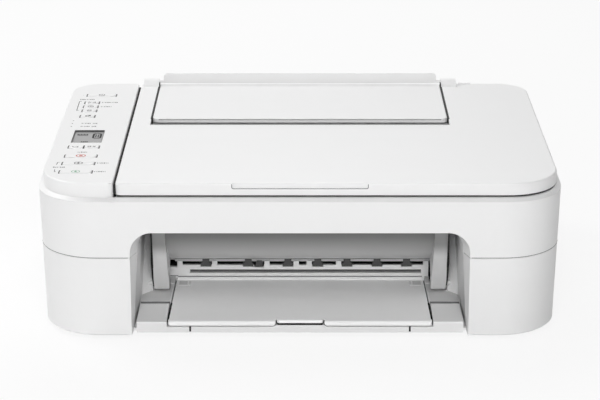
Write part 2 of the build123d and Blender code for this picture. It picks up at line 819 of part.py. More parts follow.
def paper_guide(side):
    """Edge guide that slides on the hopper plate and holds the stack; side is -1 for the left one."""
    lift = 0.4
    fin_points = [hopper_point(30, lift), hopper_point(84, lift), hopper_point(84, 9), hopper_point(74, 14),
                  hopper_point(36, 14), hopper_point(30, 9)]
    foot_points = [hopper_point(34, lift), hopper_point(70, lift), hopper_point(70, 1.8), hopper_point(34, 1.8)]
    inner, near, far = side * 92.0, side * 109.0, side * 111.0
    fin = side_profile(fin_points, min(near, far), max(near, far))
    return fin + side_profile(foot_points, min(inner, near), max(inner, near))


def pickup_roller():
    """Rubber-tyred roller that picks a sheet from the rear feed, on its shaft."""
    tyre_half_width = 11.0
    groove_outer = 12.0
    groove_inner = 6.0
    roller = rod_x(-122, 122, pickup_axis_y, pickup_axis_z, pickup_shaft_radius)
    for x in (-28, 28):
        left = x - tyre_half_width
        roller += rod_x(left, x + tyre_half_width, pickup_axis_y, pickup_axis_z, pickup_radius)
        groove = rod_x(left - 1, left + 3, pickup_axis_y, pickup_axis_z, groove_outer)
        roller -= groove - rod_x(left - 2, left + 4, pickup_axis_y, pickup_axis_z, groove_inner)
    return roller


def gear(teeth, tooth_angle, centre_y, centre_z, bore):
    """A spur gear in the plane square to X, with one tooth centred at tooth_angle degrees from +Y."""
    pitch_radius = gear_module * teeth / 2
    root = pitch_radius - 1.0
    tip = pitch_radius + 0.7
    pitch = 2 * pi / teeth
    points = []
    for index in range(teeth):
        centre = radians(tooth_angle) + index * pitch
        for radius, share in ((root, -0.31), (tip, -0.12), (tip, 0.12), (root, 0.31)):
            angle = centre + share * pitch
            points.append((centre_y + radius * cos(angle), centre_z + radius * sin(angle)))
    wheel = side_profile(points, gear_left, gear_right)
    if bore > 0:
        wheel -= rod_x(gear_left - 1, gear_right + 1, centre_y, centre_z, bore)
    return wheel


def idler_centre():
    """Centre of the large gear, which meets the feed gear and the exit gear from above."""
    reach = gear_module * (feed_teeth + idler_teeth) / 2
    across = hypot(feed_axis_y - exit_axis_y, feed_axis_z - exit_axis_z) / 2
    lift = sqrt(reach * reach - across * across)
    along = atan2(feed_axis_z - exit_axis_z, feed_axis_y - exit_axis_y)
    middle_y = (feed_axis_y + exit_axis_y) / 2
    middle_z = (feed_axis_z + exit_axis_z) / 2
    return middle_y - lift * sin(along), middle_z + lift * cos(along)


def meshing_tooth(angle_to_follower, driver_tooth, driver_teeth, follower_teeth):
    """The tooth angle of a gear that meshes with a driver, all in degrees."""
    offset = driver_tooth - angle_to_follower
    half_pitch = 180.0 / follower_teeth
    return angle_to_follower + 180.0 - offset * driver_teeth / follower_teeth + half_pitch


def gear_angles():
    """One tooth angle for each gear of the train, so that all are in mesh."""
    idler_y, idler_z = idler_centre()
    feed_to_idler = degrees(atan2(idler_z - feed_axis_z, idler_y - feed_axis_y))
    idler_to_exit = degrees(atan2(exit_axis_z - idler_z, exit_axis_y - idler_y))
    feed_tooth = feed_to_idler
    idler_tooth = meshing_tooth(feed_to_idler, feed_tooth, feed_teeth, idler_teeth)
    exit_tooth = meshing_tooth(idler_to_exit, idler_tooth, idler_teeth, exit_teeth)
    pinion_tooth = meshing_tooth(pinion_angle, feed_tooth, feed_teeth, pinion_teeth)
    return feed_tooth, idler_tooth, exit_tooth, pinion_tooth


def pinion_centre():
    """Centre of the motor's pinion, beside the feed gear."""
    reach = gear_module * (feed_teeth + pinion_teeth) / 2
    angle = radians(pinion_angle)
    return feed_axis_y + reach * cos(angle), feed_axis_z + reach * sin(angle)


def feed_roller():
    """Main feed roller with its gear pressed on the left end."""
    roller = rod_x(-114, 114, feed_axis_y, feed_axis_z, feed_radius)
    roller += rod_x(gear_wall_right + 0.3, 126, feed_axis_y, feed_axis_z, 3)
    return roller + gear(feed_teeth, gear_angles()[0], feed_axis_y, feed_axis_z, 0)


def exit_roller():
    """Exit shaft with a rubber ring under each star wheel and its gear on the left end."""
    shaft = rod_x(gear_wall_right + 0.3, 124, exit_axis_y, exit_axis_z, exit_shaft_radius)
    for x in star_places:
        shaft += rod_x(x - 4, x + 4, exit_axis_y, exit_axis_z, exit_ring_radius)
    return shaft + gear(exit_teeth, gear_angles()[2], exit_axis_y, exit_axis_z, 0)


def idler_gear():
    """Large gear with lightening holes that turns on a fixed stud."""
    centre_y, centre_z = idler_centre()
    wheel = gear(idler_teeth, gear_angles()[1], centre_y, centre_z, 3 + running_clearance)
    for index in range(6):
        angle = radians(60 * index + 15)
        wheel -= rod_x(gear_left - 1, gear_right + 1, centre_y + 16 * cos(angle), centre_z + 16 * sin(angle), 5.2)
    return wheel


def motor_pinion():
    """Small gear on the feed motor's shaft."""
    centre_y, centre_z = pinion_centre()
    hub = rod_x(-184.2, gear_left + 1, centre_y, centre_z, 1.6)
    return gear(pinion_teeth, gear_angles()[3], centre_y, centre_z, 0) + hub


def print_base():
    """Plastic base of the print unit: ribbed platen, bearing walls and the wall that carries the gears."""
    base = block(-184, 207, -34, 64, floor_top, 9)
    base -= block(-70, 70, 36, 58, 6, 10)
    deck = block(-113, 113, -32, 11, 19.4, 21.2)
    deck += block(-113, 113, -32, -30.2, 8.8, 20)
    deck += block(-113, 113, 9.2, 11, 8.8, 20)
    ribs = 13
    for index in range(ribs):
        x = -108 + index * 216 / (ribs - 1)
        deck += side_profile([(-32, 20), (-32, 22.4), (-29, 24.2), (8, 24.2), (11, 22.4), (11, 20)],
                             x - rib_width / 2, x + rib_width / 2)
    base += deck
    wall_top = star_rail_base - 0.2
    for x0 in (-star_rail_reach, star_rail_reach - 3):
        base += side_profile([(-45.6, floor_top), (33, floor_top), (33, 24), (-30, 24), (-32, wall_top),
                              (-45.6, wall_top)], x0, x0 + 3)
    idler_y, idler_z = idler_centre()
    base += side_profile([(-48, floor_top), (45, floor_top), (45, 36), (12, 46), (-29, 46), (-48, 32)],
                         gear_wall_left, gear_wall_right)
    base += rod_x(gear_wall_left + 1, gear_right + 0.5, idler_y, idler_z, 3)
    centre_y, centre_z = pinion_centre()
    base -= rod_x(gear_wall_left - 1, gear_wall_right + 1, centre_y, centre_z, 5.2)
    base -= rod_x(-130, 130, feed_axis_y, feed_axis_z, 3 + running_clearance)
    base -= rod_x(-130, 130, exit_axis_y, exit_axis_z, exit_shaft_radius + running_clearance)
    # Runners under the side shelves of the output bay
    inner = shelf_skirt + 2.4
    for side in (-1, 1):
        runner = [(side * inner, runner_front), (side * 135.4, runner_front), (side * 135.4, -90), (side * 126, -80),
                  (side * 126, -33), (side * inner, -33)]
        base += extrude(Pos(0, 0, floor_top) * make_face(Polyline(*runner, close=True)), runner_top - floor_top)
    # End columns that hold the carriage rod and the rail
    for x0 in (rod_left, rod_right - column_width):
        base += block(x0, x0 + column_width, 20, rail_y, floor_top, 54)
        base += block(x0, x0 + column_width, 10, 60, floor_top, 9)
    base += block(rod_left, -183, 14, 56, floor_top, 9)
    base -= rod_x(-214, 214, carriage_rod_y, carriage_rod_z, carriage_rod_radius)
    base -= block(gear_left - 1, gear_right + 1, feed_axis_y - 12, feed_axis_y + 12, 6, 10)
    return base


def exit_guide():
    """Beam in front of the exit shaft, with a long slot and the paper fingers on its top edge."""
    front, rear = exit_beam_front, exit_beam_rear
    foot_width = 5.6
    beam = block(exit_beam_left, exit_beam_right, front, rear, exit_beam_base, exit_beam_top)
    for x in (exit_beam_left, exit_beam_right - foot_width):
        beam += block(x, x + foot_width, front, front + 5, floor_top, exit_beam_base + 1)
    beam -= block(exit_beam_left - 1, exit_step_x, front - 1, rear + 1, exit_step_top, exit_beam_top + 1)
    left, right, low, high = exit_slot
    beam -= block(left, right, front - 1, rear + 1, low, high)
    # Room for the star wheel holders and for the paper sensor
    half_notch = holder_foot_half_width + 0.3
    for x in star_places:
        beam -= block(x - half_notch, x + half_notch, front - 1, rear + 1, exit_beam_top - 1.6, 30)
    beam -= block(paper_sensor_x - 4.6, paper_sensor_x + 4, front - 1, rear + 1, exit_beam_top - 2.2, 30)
    finger_foot = exit_beam_top - 1.4
    for x in finger_places:
        beam += side_profile([(front, finger_foot), (rear, finger_foot), (front + 1.3, finger_top), (front, finger_top)],
                             x - finger_half_width, x + finger_half_width)
    return beam


def star_wheel_rail():
    """Rail over the exit shaft: a thin web with a thicker front edge, notched for the star wheel holders."""
    front, rear = star_rail_front, star_rail_rear
    rail = block(star_rail_left, star_rail_right, front, front + 2.0, star_rail_base, star_rail_top)
    rail += block(star_rail_left, star_rail_right, front, rear, star_rail_base, star_rail_web)
    rail += block(-star_rail_reach, star_rail_reach, front + 4.0, rear, star_rail_base, star_rail_web)
    rail += block(-star_rail_reach, star_rail_reach, rear - star_flange, rear, star_rail_base, star_flange_top)
    half_notch = holder_half_width + notch_clearance
    for x in star_places:
        rail -= block(x - half_notch, x + half_notch, front - 1, rear - star_flange, star_rail_base - 1,
                      star_rail_top + 1)
    return rail


def star_wheel_holders():
    """A fork for every star wheel, and the lever of the paper sensor."""
    holders = []
    rear = star_rail_rear - star_flange - notch_clearance
    for x in star_places:
        holder = block(x - holder_half_width, x + holder_half_width, holder_front, rear, holder_base, holder_top)
        holder += block(x - holder_foot_half_width, x + holder_foot_half_width, holder_front,
                        star_rail_front - notch_clearance, holder_foot, holder_base + 1)
        holder -= block(x - 0.9, x + 0.9, -44.2, star_rail_rear, holder_base - 1, holder_top + 2)
        holder -= rod_x(x - 2.6, x + 2.6, exit_axis_y, star_axis_z, star_axle_radius + 0.2)
        holders.append(holder)
    lever = [(-3.6, 25.4), (3.0, 25.4), (2.8, 29), (2.2, finger_top), (-2.4, finger_top), (-2.8, 29)]
    face = make_face(Plane.XZ * Polyline(*[(paper_sensor_x + x, z) for x, z in lever], close=True))
    lever_front = exit_beam_front + 0.3
    depth = star_rail_front - lever_front
    holders.append(Pos(0, lever_front, 0) * extrude(face, depth, dir=(0, 1, 0)))
    return holders


def star_wheels():
    """Thin toothed discs that hold the sheet on the exit rings, each on its short axle."""
    teeth = 12
    solids = []
    for x in star_places:
        points = []
        for index in range(teeth):
            tip_angle = 2 * pi * index / teeth
            root_angle = tip_angle + pi / teeth
            points.append((exit_axis_y + star_radius * cos(tip_angle), star_axis_z + star_radius * sin(tip_angle)))
            points.append((exit_axis_y + 3 * cos(root_angle), star_axis_z + 3 * sin(root_angle)))
        disc = side_profile(points, x - 0.4, x + 0.4)
        solids.append(disc + rod_x(x - 2.4, x + 2.4, exit_axis_y, star_axis_z, star_axle_radius))
    return solids


def carriage_rail():
    """Folded steel rail behind the carriage, on the two end columns."""
    y0, y1 = rail_y, rail_y + rail_thickness
    rail = block(rod_left, rod_right, y0, y1, 40, 95.6)
    rail += block(rod_left, rod_right, y0 - 9, y1, 94.4, 95.6)
    rail += block(rod_left, rod_right, y0, y1 + 6, 40, 41.2)
    for x0 in (rod_left, rod_right - column_width):
        rail += block(x0, x0 + column_width, 24, y1, 54, 55.2)
    for x in (-120, -60, 0, 60, 120):
        rail -= Pos(x, y0 + 2, 80) * Rot(90, 0, 0) * extrude(SlotOverall(34, 9), 6)
    rail -= rod_y(belt_right, y0 - 1, y1 + 1, belt_z, 3.2)
    return rail


def carriage_guide_rod():
    """Steel rod that the carriage slides on."""
    return rod_x(rod_left, rod_right, carriage_rod_y, carriage_rod_z, carriage_rod_radius)


def carriage_belt():
    """Toothed belt that pulls the carriage, round a pulley at each end."""
    length = belt_right - belt_left + 2 * pulley_radius + 1.6
    loop = extrude(SlotOverall(length, 2 * pulley_radius + 1.6) - SlotOverall(length - 1.6, 2 * pulley_radius), 3.6)
    return Pos((belt_left + belt_right) / 2, 34.2, belt_z) * Rot(90, 0, 0) * loop


def carriage_motor():
    """Carriage motor behind the rail with its pulley, and the free pulley at the far end."""
    motor = rod_y(belt_right, rail_y + rail_thickness, 62, belt_z, 13.5)
    motor += rod_y(belt_right, 30.2, 40, belt_z, 2.4)
    motor += rod_y(belt_right, 30.4, 34.4, belt_z, pulley_radius - 0.1)
    free = rod_y(belt_left, 30.4, rail_y, belt_z, pulley_radius - 0.1)
    return motor, free


def carriage():
    """Cartridge holder that travels along the rod over the platen."""
    side = [(-42, 38), (-27.5, 38), (-27.5, 27.4), (8.5, 27.4), (8.5, 38), (18, 38), (18, 75), (12.5, 75), (12.5, 66),
            (-36, 62), (-42, 54)]
    holder = side_profile(side, carriage_left, carriage_right)
    for x0, x1 in cartridge_spans():
        holder -= block(x0 - 0.4, x1 + 0.4, -39.6, 12.6, 40, 90)
        holder -= block(x0 - 0.4, x1 + 0.4, -25, 7, 31, 41)
        holder -= block(x0 + 6, x1 - 6, -20, 2, 27, 32)
        holder -= block(x0 - 0.8, x1 + 0.8, 11, 19, 66.5, 76)
    holder += block(carriage_left + 5, carriage_right - 5, 17.5, 33.4, 39.6, 52.4)
    holder += block(155, 169, 17.5, 33.6, 55, 58.9)
    holder -= rod_x(carriage_left, carriage_right, carriage_rod_y, carriage_rod_z,
                    carriage_rod_radius + running_clearance)
    holder -= rod_x(carriage_left + 0.9, carriage_right - 0.9, lock_axis_y, lock_axis_z, 1.2 + running_clearance)
    return holder


def cartridge_spans():
    """The X limits of the two cartridges."""
    return ((133.6, 160.4), (163.6, 190.4))


def ink_cartridge(x0, x1):
    """Cartridge with its print head below and a grip edge on top."""
    side = [(-24.5, 31.4), (6.5, 31.4), (6.5, 40.3), (12, 40.3), (12, 61), (4, 65), (-30, 61), (-36, 57), (-39, 50),
            (-39, 40.3), (-24.5, 40.3)]
    tank = side_profile(side, x0, x1)
    tank += block(x0 + 7, x1 - 7, -19, 1, 27.8, 32)
    return tank


def lock_cover(x0, x1):
    """Locking flap over one cartridge, hinged at its rear on two stub pins."""
    flap = side_profile([(-39, 66.8), (10, 68.4), (13, lock_axis_z - 1.6), (13, lock_axis_z + 1.6), (8, 71),
                         (-39, 69)], x0 + 0.4, x1 - 0.4)
    flap += rod_x(x0 + 0.4, x1 - 0.4, lock_axis_y, lock_axis_z, 2.3)
    flap += side_profile([(12, lock_axis_z - 1.5), (15, lock_axis_z - 1.5), (15, lock_axis_z + 1.5),
                          (12, lock_axis_z + 1.5)], x0 + 0.4, x1 - 0.4)
    flap += rod_x(x0 - 1.4, x1 + 1.4, lock_axis_y, lock_axis_z, 1.2)
    return flap


def maintenance_unit():
    """Capping station under the parked carriage: two caps and a wiper on a frame."""
    unit = block(129, 194, -27, 9, 9, 20)
    unit -= block(131, 192, -25, 7, 14, 21)
    for x0, x1 in cartridge_spans():
        centre = (x0 + x1) / 2
        cap = block(centre - 9, centre + 9, -20, 2, 13, 27)
        cap -= block(centre - 7, centre + 7, -18, 0, 24, 28)
        unit += cap
    return unit


def feed_motor():
    """Motor of the paper feed, outside the gear wall."""
    centre_y, centre_z = pinion_centre()
    motor = rod_x(-206, -184.4, centre_y, centre_z, 13.5)
    motor -= rod_x(-185.4, -184, centre_y, centre_z, 3)
    return motor


def power_supply():
    """Enclosed power supply at the left rear, with vents in its lid."""
    case = slab(rectangle(-206, -140, 66, 141), [3, 3, 3, 3], floor_top, 44)
    for index in range(7):
        y = 76 + index * 8
        case -= block(-198, -148, y, y + 3, 41, 45)
    return case


def power_inlet():
    """Two-pin mains inlet in the rear wall, without its cord."""
    centre_x = (inlet_left + inlet_right) / 2
    centre_z = (inlet_base + inlet_top) / 2
    shell = block(inlet_left, inlet_right, 141, 157.2, inlet_base, inlet_top)
    shell -= Pos(centre_x, 158, centre_z) * Rot(90, 0, 0) * extrude(SlotOverall(16, 8.6), 11)
    for x in (centre_x - 4, centre_x + 4):
        shell += rod_y(x, 146, 154.5, centre_z, 1.1)
    return shell


def usb_port():
    """Square data socket on the edge of the logic board."""
    shell = block(port_left, port_right, 138, 157.2, port_base, port_top)
    shell -= block(port_left + 2, port_right - 2, 148, 158, port_base + 1.9, port_top - 1.8)
    return shell + block(port_left + 3.6, port_right - 3.6, 147.5, 155, port_base + 4, port_top - 4)


def logic_board():
    """Main circuit board with its larger components."""
    board = block(132, 204, 50, 141, 16, 17.6)
    board += block(160, 180, 84, 104, 17.5, 19.6)
    board += block(190, 202, 60, 74, 17.5, 28)
    for x in (146, 154):
        board += rod_z(x, 118, 17.5, 30, 3)
    return board


def rubber_feet():
    """Four feet under the corners."""
    feet = []
    for x, y in ((-176, -118), (176, -118), (-184, 128), (184, 128)):
        foot = rod_z(x, y, 0, foot_height, 9)
        feet.append(chamfer(foot.edges().group_by(Axis.Z)[0], 0.8))
    return feet


def output_tray():
    """Lower tray: wide front with two side wings and the plate that the extension rides on."""
    top = shelf_top
    front = tray_front
    wall_profile = [(front, foot_height), (front, tray_wall_top - 0.4), (front + 0.4, tray_wall_top),
                    (front + tray_wall, tray_wall_top), (front + tray_wall, foot_height)]
    tray = side_profile(wall_profile, -tray_half_width, tray_half_width)
    # The wall rises under the finger tab of the extension
    rise = [(-22.6, tray_wall_top - 0.5), (22.6, tray_wall_top - 0.5), (22.6, tray_wall_top), (19.4, tray_wall_rise),
            (-19.4, tray_wall_rise), (-22.6, tray_wall_top)]
    rise_face = make_face(Plane.XZ * Polyline(*rise, close=True))
    tray += Pos(0, front + 0.4, 0) * extrude(rise_face, tray_wall - 0.4, dir=(0, 1, 0))
    tray += block(-tray_plate_half_width, tray_plate_half_width, front + 1, tray_plate_rear, tray_plate_base,
                  tray_plate_base + tray_plate_thickness)
    for side in (-1, 1):
        inner = side * tray_plate_half_width
        outer = side * tray_half_width
        left, right = min(inner, outer), max(inner, outer)
        wing = block(left, right, front, tray_wing_rear, tray_wall_top - 0.4, top)
        wing = fillet(wing.edges().filter_by(Axis.X).group_by(Axis.Z)[-1].group_by(Axis.Y)[0], 1.2)
        wing -= block(left + 2, right - 2, front + 2.4, tray_wing_rear - 2, 8, top - 2)
        wing += block(left, left + tray_runner, front + 1, tray_wing_rear, tray_plate_base, 10)
        wing += block(right - tray_runner, right, front + 1, tray_wing_rear, tray_plate_base, 10)
        tray += wing
        tray += block(left, right, tray_wing_rear - 2, tray_wing_rear, tray_plate_base, 10)
        slot = side * tray_slot_x
        tray -= block(slot - tray_slot_width / 2, slot + tray_slot_width / 2, front - 1, front + 8, 5.2, 9.6)
    # Slots in the plate where the extension's stops run
    for x in (-60, 60):
        tray -= block(x - 2, x + 2, -132, -62, 7, 9)
    return tray


def tray_extension():
    """Upper tray panel with its bright lip, finger tab and raised rear edge."""
    front, rear = tray_front, extension_rear
    front_half, rear_half = extension_front_half_width, extension_rear_half_width
    points = [(-front_half, front), (front_half, front), (rear_half, rear), (-rear_half, rear)]
    radius = extension_corner_radius
    panel = slab(points, [radius, radius, 1, 1], extension_top - extension_thickness, extension_top)
    lip_back = front + extension_lip_depth
    lip_half_back = front_half - 0.2
    lip_points = [(-front_half, front), (front_half, front), (lip_half_back, lip_back), (-lip_half_back, lip_back)]
    lip = slab(lip_points, [radius, radius, 0, 0], extension_lip_base, extension_lip_top)
    rounding = [(front, 9), (front, 13.2), (front + 0.5, 14.1), (front + 1.4, extension_lip_top),
                (front + 4, extension_lip_top), (front + 5.6, extension_top - 0.2), (front + 5.6, 9)]
    panel += lip & side_profile(rounding, -120, 120)
    rim = block(-rear_half + 0.5, rear_half - 0.5, rear - 1.8, rear, extension_top - 1, extension_rim_top)
    panel += fillet(rim.edges().filter_by(Axis.X).group_by(Axis.Z)[-1], 0.8)
    # Ribs underneath, along both edges and behind the tab
    rib_top = extension_top - extension_thickness + 0.2
    for side in (-1, 1):
        x = side * (rear_half - 1.4)
        panel += block(x - 0.9, x + 0.9, lip_back, rear - 2, extension_rib_base, rib_top)
    for x in (-60, -28, 28, 60):
        panel += block(x - 0.7, x + 0.7, notch_back + 2, rear - 3, extension_rib_base, rib_top)
    # Finger room: the lip is cut away and its lower corners rise towards the gap
    panel -= block(-notch_half_width, notch_half_width, front - 2, notch_back, 9, 16)
    for side in (-1, 1):
        relief = [(side * (notch_half_width - 1), 10), (side * (notch_half_width + notch_relief), 10),
                  (side * (notch_half_width + notch_relief), 10.4), (side * notch_half_width, 12.2),
                  (side * (notch_half_width - 1), 12.2)]
        relief_face = make_face(Plane.XZ * Polyline(*relief, close=True))
        panel -= Pos(0, front - 1, 0) * extrude(relief_face, extension_lip_depth + 2, dir=(0, 1, 0))
    panel -= block(-notch_half_width, notch_half_width, front - 2, tab_rear - 3, 9, tab_base)
    tab = slab(rectangle(-tab_half_width, tab_half_width, front, tab_rear), [2.5, 2.5, 4, 4], tab_base, tab_top)
    tab_profile = [(front, tab_base), (front, tab_top - 1), (front + 0.4, tab_top - 0.3), (front + 1.2, tab_top),
                   (tab_rear - 3, tab_top), (tab_rear, extension_top - 0.1), (tab_rear, tab_base)]
    return panel + (tab & side_profile(tab_profile, -30, 30))


def output_cover():
    """Paper output cover: a curved deflector between two arms that pivot at the bay's sides."""
    top = (door_top_y, door_top_z)
    reach = hypot(door_top_y - door_axis_y, door_top_z - door_axis_z)
    lean = atan2(door_top_z - door_axis_z, door_top_y - door_axis_y)
    touch = lean + pi / 2 - asin(door_boss_radius / reach)
    foot = (door_axis_y + door_boss_radius * cos(touch), door_axis_z + door_boss_radius * sin(touch))
    slope = atan2(door_top_z - foot[1], door_top_y - foot[0])
    inward = (door_arm_thickness * sin(slope), -door_arm_thickness * cos(slope))
    top_back = (top[0] + inward[0], top[1] + inward[1])
    foot_back = (foot[0] + inward[0], foot[1] + inward[1])

    # Deflector: an arc that leaves the plane of the arms at the top and curves back towards the exit rollers
    face = ThreePointArc(top, door_middle, (door_foot_y, door_foot_z))
    centre = face.arc_center
    rear_points = [point + (centre - point).normalized() * door_thickness for point in (face @ 1, face @ 0.5, face @ 0)]
    back = ThreePointArc(*rear_points)
    section = make_face(Plane.YZ * Wire([face, Line(face @ 1, back @ 0), back, Line(back @ 1, face @ 0)]))
    cover = Pos(-door_arm_outer, 0, 0) * extrude(section, 2 * door_arm_outer, dir=(1, 0, 0))
    web = [foot, top] + [((face @ share).X, (face @ share).Y) for share in (0.25, 0.5, 0.75, 0.96)] + [(-72, 30)]
    for side in (-1, 1):
        inner = side * door_arm_inner
        outer = side * door_arm_outer
        left, right = min(inner, outer), max(inner, outer)
        arm = side_profile([top, top_back, foot_back, foot], left, right)
        arm += rod_x(left, right, door_axis_y, door_axis_z, door_boss_radius)
        web_left = min(inner, inner + side * door_web)
        arm += side_profile(web, web_left, web_left + door_web)
        pin = side * door_pin_end
        arm += rod_x(min(outer - side, pin), max(outer - side, pin), door_axis_y, door_axis_z, door_pin_radius)
        cover += arm
        # The arm narrows upwards along its outer edge, and its foot has cut corners
        outer_top = side * door_arm_outer_top
        beyond = side * (door_arm_outer + 5)
        cuts = [
            [(outer, door_arm_taper_base), (outer_top, door_top_z), (outer_top, 100), (beyond, 100),
             (beyond, door_arm_taper_base)],
            [(outer, 14), (outer, 17.8), (outer - side * 1.8, 16), (outer - side * 1.8, 14)],
            [(inner, 14), (inner, 17.8), (inner + side * 1.8, 16), (inner + side * 1.8, 14)],
        ]
        for cut in cuts:
            cut_face = make_face(Plane.XZ * Polyline(*cut, close=True))
            cover -= Pos(0, -145, 0) * extrude(cut_face, 95, dir=(0, 1, 0))
    return cover


def build_parts():
    """Every node of the printer by name."""
    left_side = bay_side()
    nodes = {
        "lower_housing": lower_housing(),
        "upper_housing": upper_housing(),
        "bay_side_left": left_side,
        "bay_side_right": mirror(left_side, about=Plane.YZ),
        "rear_cover": rear_cover(),
        "rubber_feet": Compound(rubber_feet()),
        "scanner_frame": scanner_frame(),
        "platen_glass": platen_glass(),
        "scanner_tray": scanner_tray(),
        "scan_guide_rod": scan_guide_rod(),
        "scan_head": scan_head(),
        "control_panel": control_panel(),
        "panel_board": panel_board(),
        "lcd_display": lcd_display(),
        "document_cover": document_cover(),
        "cover_inner_plate": cover_inner_plate(),
        "cover_pad": cover_pad(),
        "hinge_pins": Compound(list(hinge_pins())),
        "paper_support": paper_support(),
        "rear_hopper": rear_hopper(),
        "paper_guide_left": paper_guide(-1),
        "paper_guide_right": paper_guide(1),
        "pickup_roller": pickup_roller(),
        "print_base": print_base(),
        "feed_roller": feed_roller(),
        "exit_roller": exit_roller(),
        "idler_gear": idler_gear(),
        "motor_pinion": motor_pinion(),
        "feed_motor": feed_motor(),
        "exit_guide": exit_guide(),
        "star_wheel_rail": star_wheel_rail(),
        "star_wheel_holders": Compound(star_wheel_holders()),
        "star_wheels": Compound(star_wheels()),
        "carriage_rail": carriage_rail(),
        "carriage_guide_rod": carriage_guide_rod(),
        "carriage_belt": carriage_belt(),
        "carriage_motor": Compound(list(carriage_motor())),
        "carriage": carriage(),
        "maintenance_unit": maintenance_unit(),
        "power_supply": power_supply(),
        "power_inlet": power_inlet(),
        "usb_port": usb_port(),
        "logic_board": logic_board(),
        "output_tray": output_tray(),
        "tray_extension": tray_extension(),
        "output_cover": output_cover(),
    }
    for color, span in zip(("black", "color"), cartridge_spans()):
        nodes["ink_cartridge_" + color] = ink_cartridge(*span)
        nodes["lock_cover_" + color] = lock_cover(*span)
    for name, x, y, length in button_places:
        nodes[name] = button(x, y, length)
    return nodes


def main():
    os.makedirs("parts", exist_ok=True)
    for name, shape in build_parts().items():
        export_step(shape, "parts/" + name + ".step")
        print(name, len(shape.solids()), round(shape.volume))


if __name__ == "__main__":
    main()
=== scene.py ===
import logging
import math
from dataclasses import dataclass, field
from enum import Enum
from typing import Sequence

import bmesh
import bpy
import numpy as np
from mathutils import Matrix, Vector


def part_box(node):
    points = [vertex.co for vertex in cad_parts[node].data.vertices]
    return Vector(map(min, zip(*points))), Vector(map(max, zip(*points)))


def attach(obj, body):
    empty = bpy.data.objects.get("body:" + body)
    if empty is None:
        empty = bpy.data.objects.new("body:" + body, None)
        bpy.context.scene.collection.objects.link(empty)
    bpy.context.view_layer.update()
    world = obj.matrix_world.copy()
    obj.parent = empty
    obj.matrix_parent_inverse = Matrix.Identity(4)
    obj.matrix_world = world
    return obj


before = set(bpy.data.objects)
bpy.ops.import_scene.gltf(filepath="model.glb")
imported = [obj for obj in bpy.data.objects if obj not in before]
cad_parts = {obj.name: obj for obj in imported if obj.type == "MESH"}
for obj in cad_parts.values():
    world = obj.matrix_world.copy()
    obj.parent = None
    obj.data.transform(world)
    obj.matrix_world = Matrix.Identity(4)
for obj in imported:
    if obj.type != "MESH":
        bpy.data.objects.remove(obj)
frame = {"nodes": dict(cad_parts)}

# Looks of a flatbed inkjet multifunction printer, in metres. +X is to the right, +Y to the back and +Z up.

log = logging.getLogger("printer")

Color = tuple[float, float, float]
Point = tuple[float, float]
Span = tuple[float, float]
Path = Sequence[Sequence[float]] | np.ndarray
Run = tuple[bpy.types.Node, str | int, bpy.types.Node, str | int]
MM = 0.001

# Numbers of the sockets of a Mix node that mixes colours
MIX_SHARE, MIX_FIRST, MIX_SECOND, MIX_RESULT = 0, 6, 7, 2


class Body(Enum):
    """The moving bodies that the new pieces ride on."""

    HOUSING = "housing"
    TOP_COVER = "top_cover"
    PAPER_SUPPORT = "paper_support"
    OUTPUT_TRAY = "output_tray"
    TRAY_EXTENSION = "tray_extension"
    OUTPUT_COVER = "output_cover"
    SCAN_HEAD = "scan_head"


class Slot(Enum):
    """The record's material slots; each new piece is handed one."""

    SHELL = "white_shell"
    BAY = "bay_grey"
    COVER = "cover_grey"
    TRAY = "tray_grey"
    INNER = "inner_plastic"
    DISPLAY = "display_window"
    KEYS = "button_grey"
    STEEL = "steel"
    BLACK = "black_plastic"


class Socket(Enum):
    """Kinds of value that a shader group takes and gives."""

    NUMBER = "NodeSocketFloat"
    COLOR = "NodeSocketColor"


# Shader helpers


def new_group(
    name: str, inputs: Sequence[tuple[str, Socket, object]], outputs: Sequence[tuple[str, Socket]]
) -> tuple[bpy.types.NodeTree, bpy.types.Node, bpy.types.Node]:
    """Makes an empty shader group with its own input and output nodes.

    Args:
        name: the group's name.
        inputs: name, kind and default value of each input.
        outputs: name and kind of each output.

    Returns:
        The group, its input node and its output node.
    """
    group = bpy.data.node_groups.new(name, "ShaderNodeTree")
    for label, kind, value in inputs:
        socket = group.interface.new_socket(label, in_out="INPUT", socket_type=kind.value)
        socket.default_value = value
    for label, kind in outputs:
        group.interface.new_socket(label, in_out="OUTPUT", socket_type=kind.value)
    return group, group.nodes.new("NodeGroupInput"), group.nodes.new("NodeGroupOutput")


def add_node(tree: bpy.types.NodeTree, kind: str, **values: object) -> bpy.types.Node:
    """Adds a node and sets its properties and inputs by name.

    Args:
        tree: the node tree that gets the node.
        kind: the node's type name.
        values: a property of the node, or an input socket with its spaces written as underscores.

    Returns:
        The new node.
    """
    node = tree.nodes.new(kind)
    for key, value in values.items():
        if hasattr(node, key):
            setattr(node, key, value)
        else:
            node.inputs[key.replace("_", " ")].default_value = value
    return node


def wire(tree: bpy.types.NodeTree, *runs: Run) -> None:
    """Links nodes: each run is a node, its output, the next node and its input, by name or number."""
    for source, outlet, target, inlet in runs:
        tree.links.new(source.outputs[outlet], target.inputs[inlet])


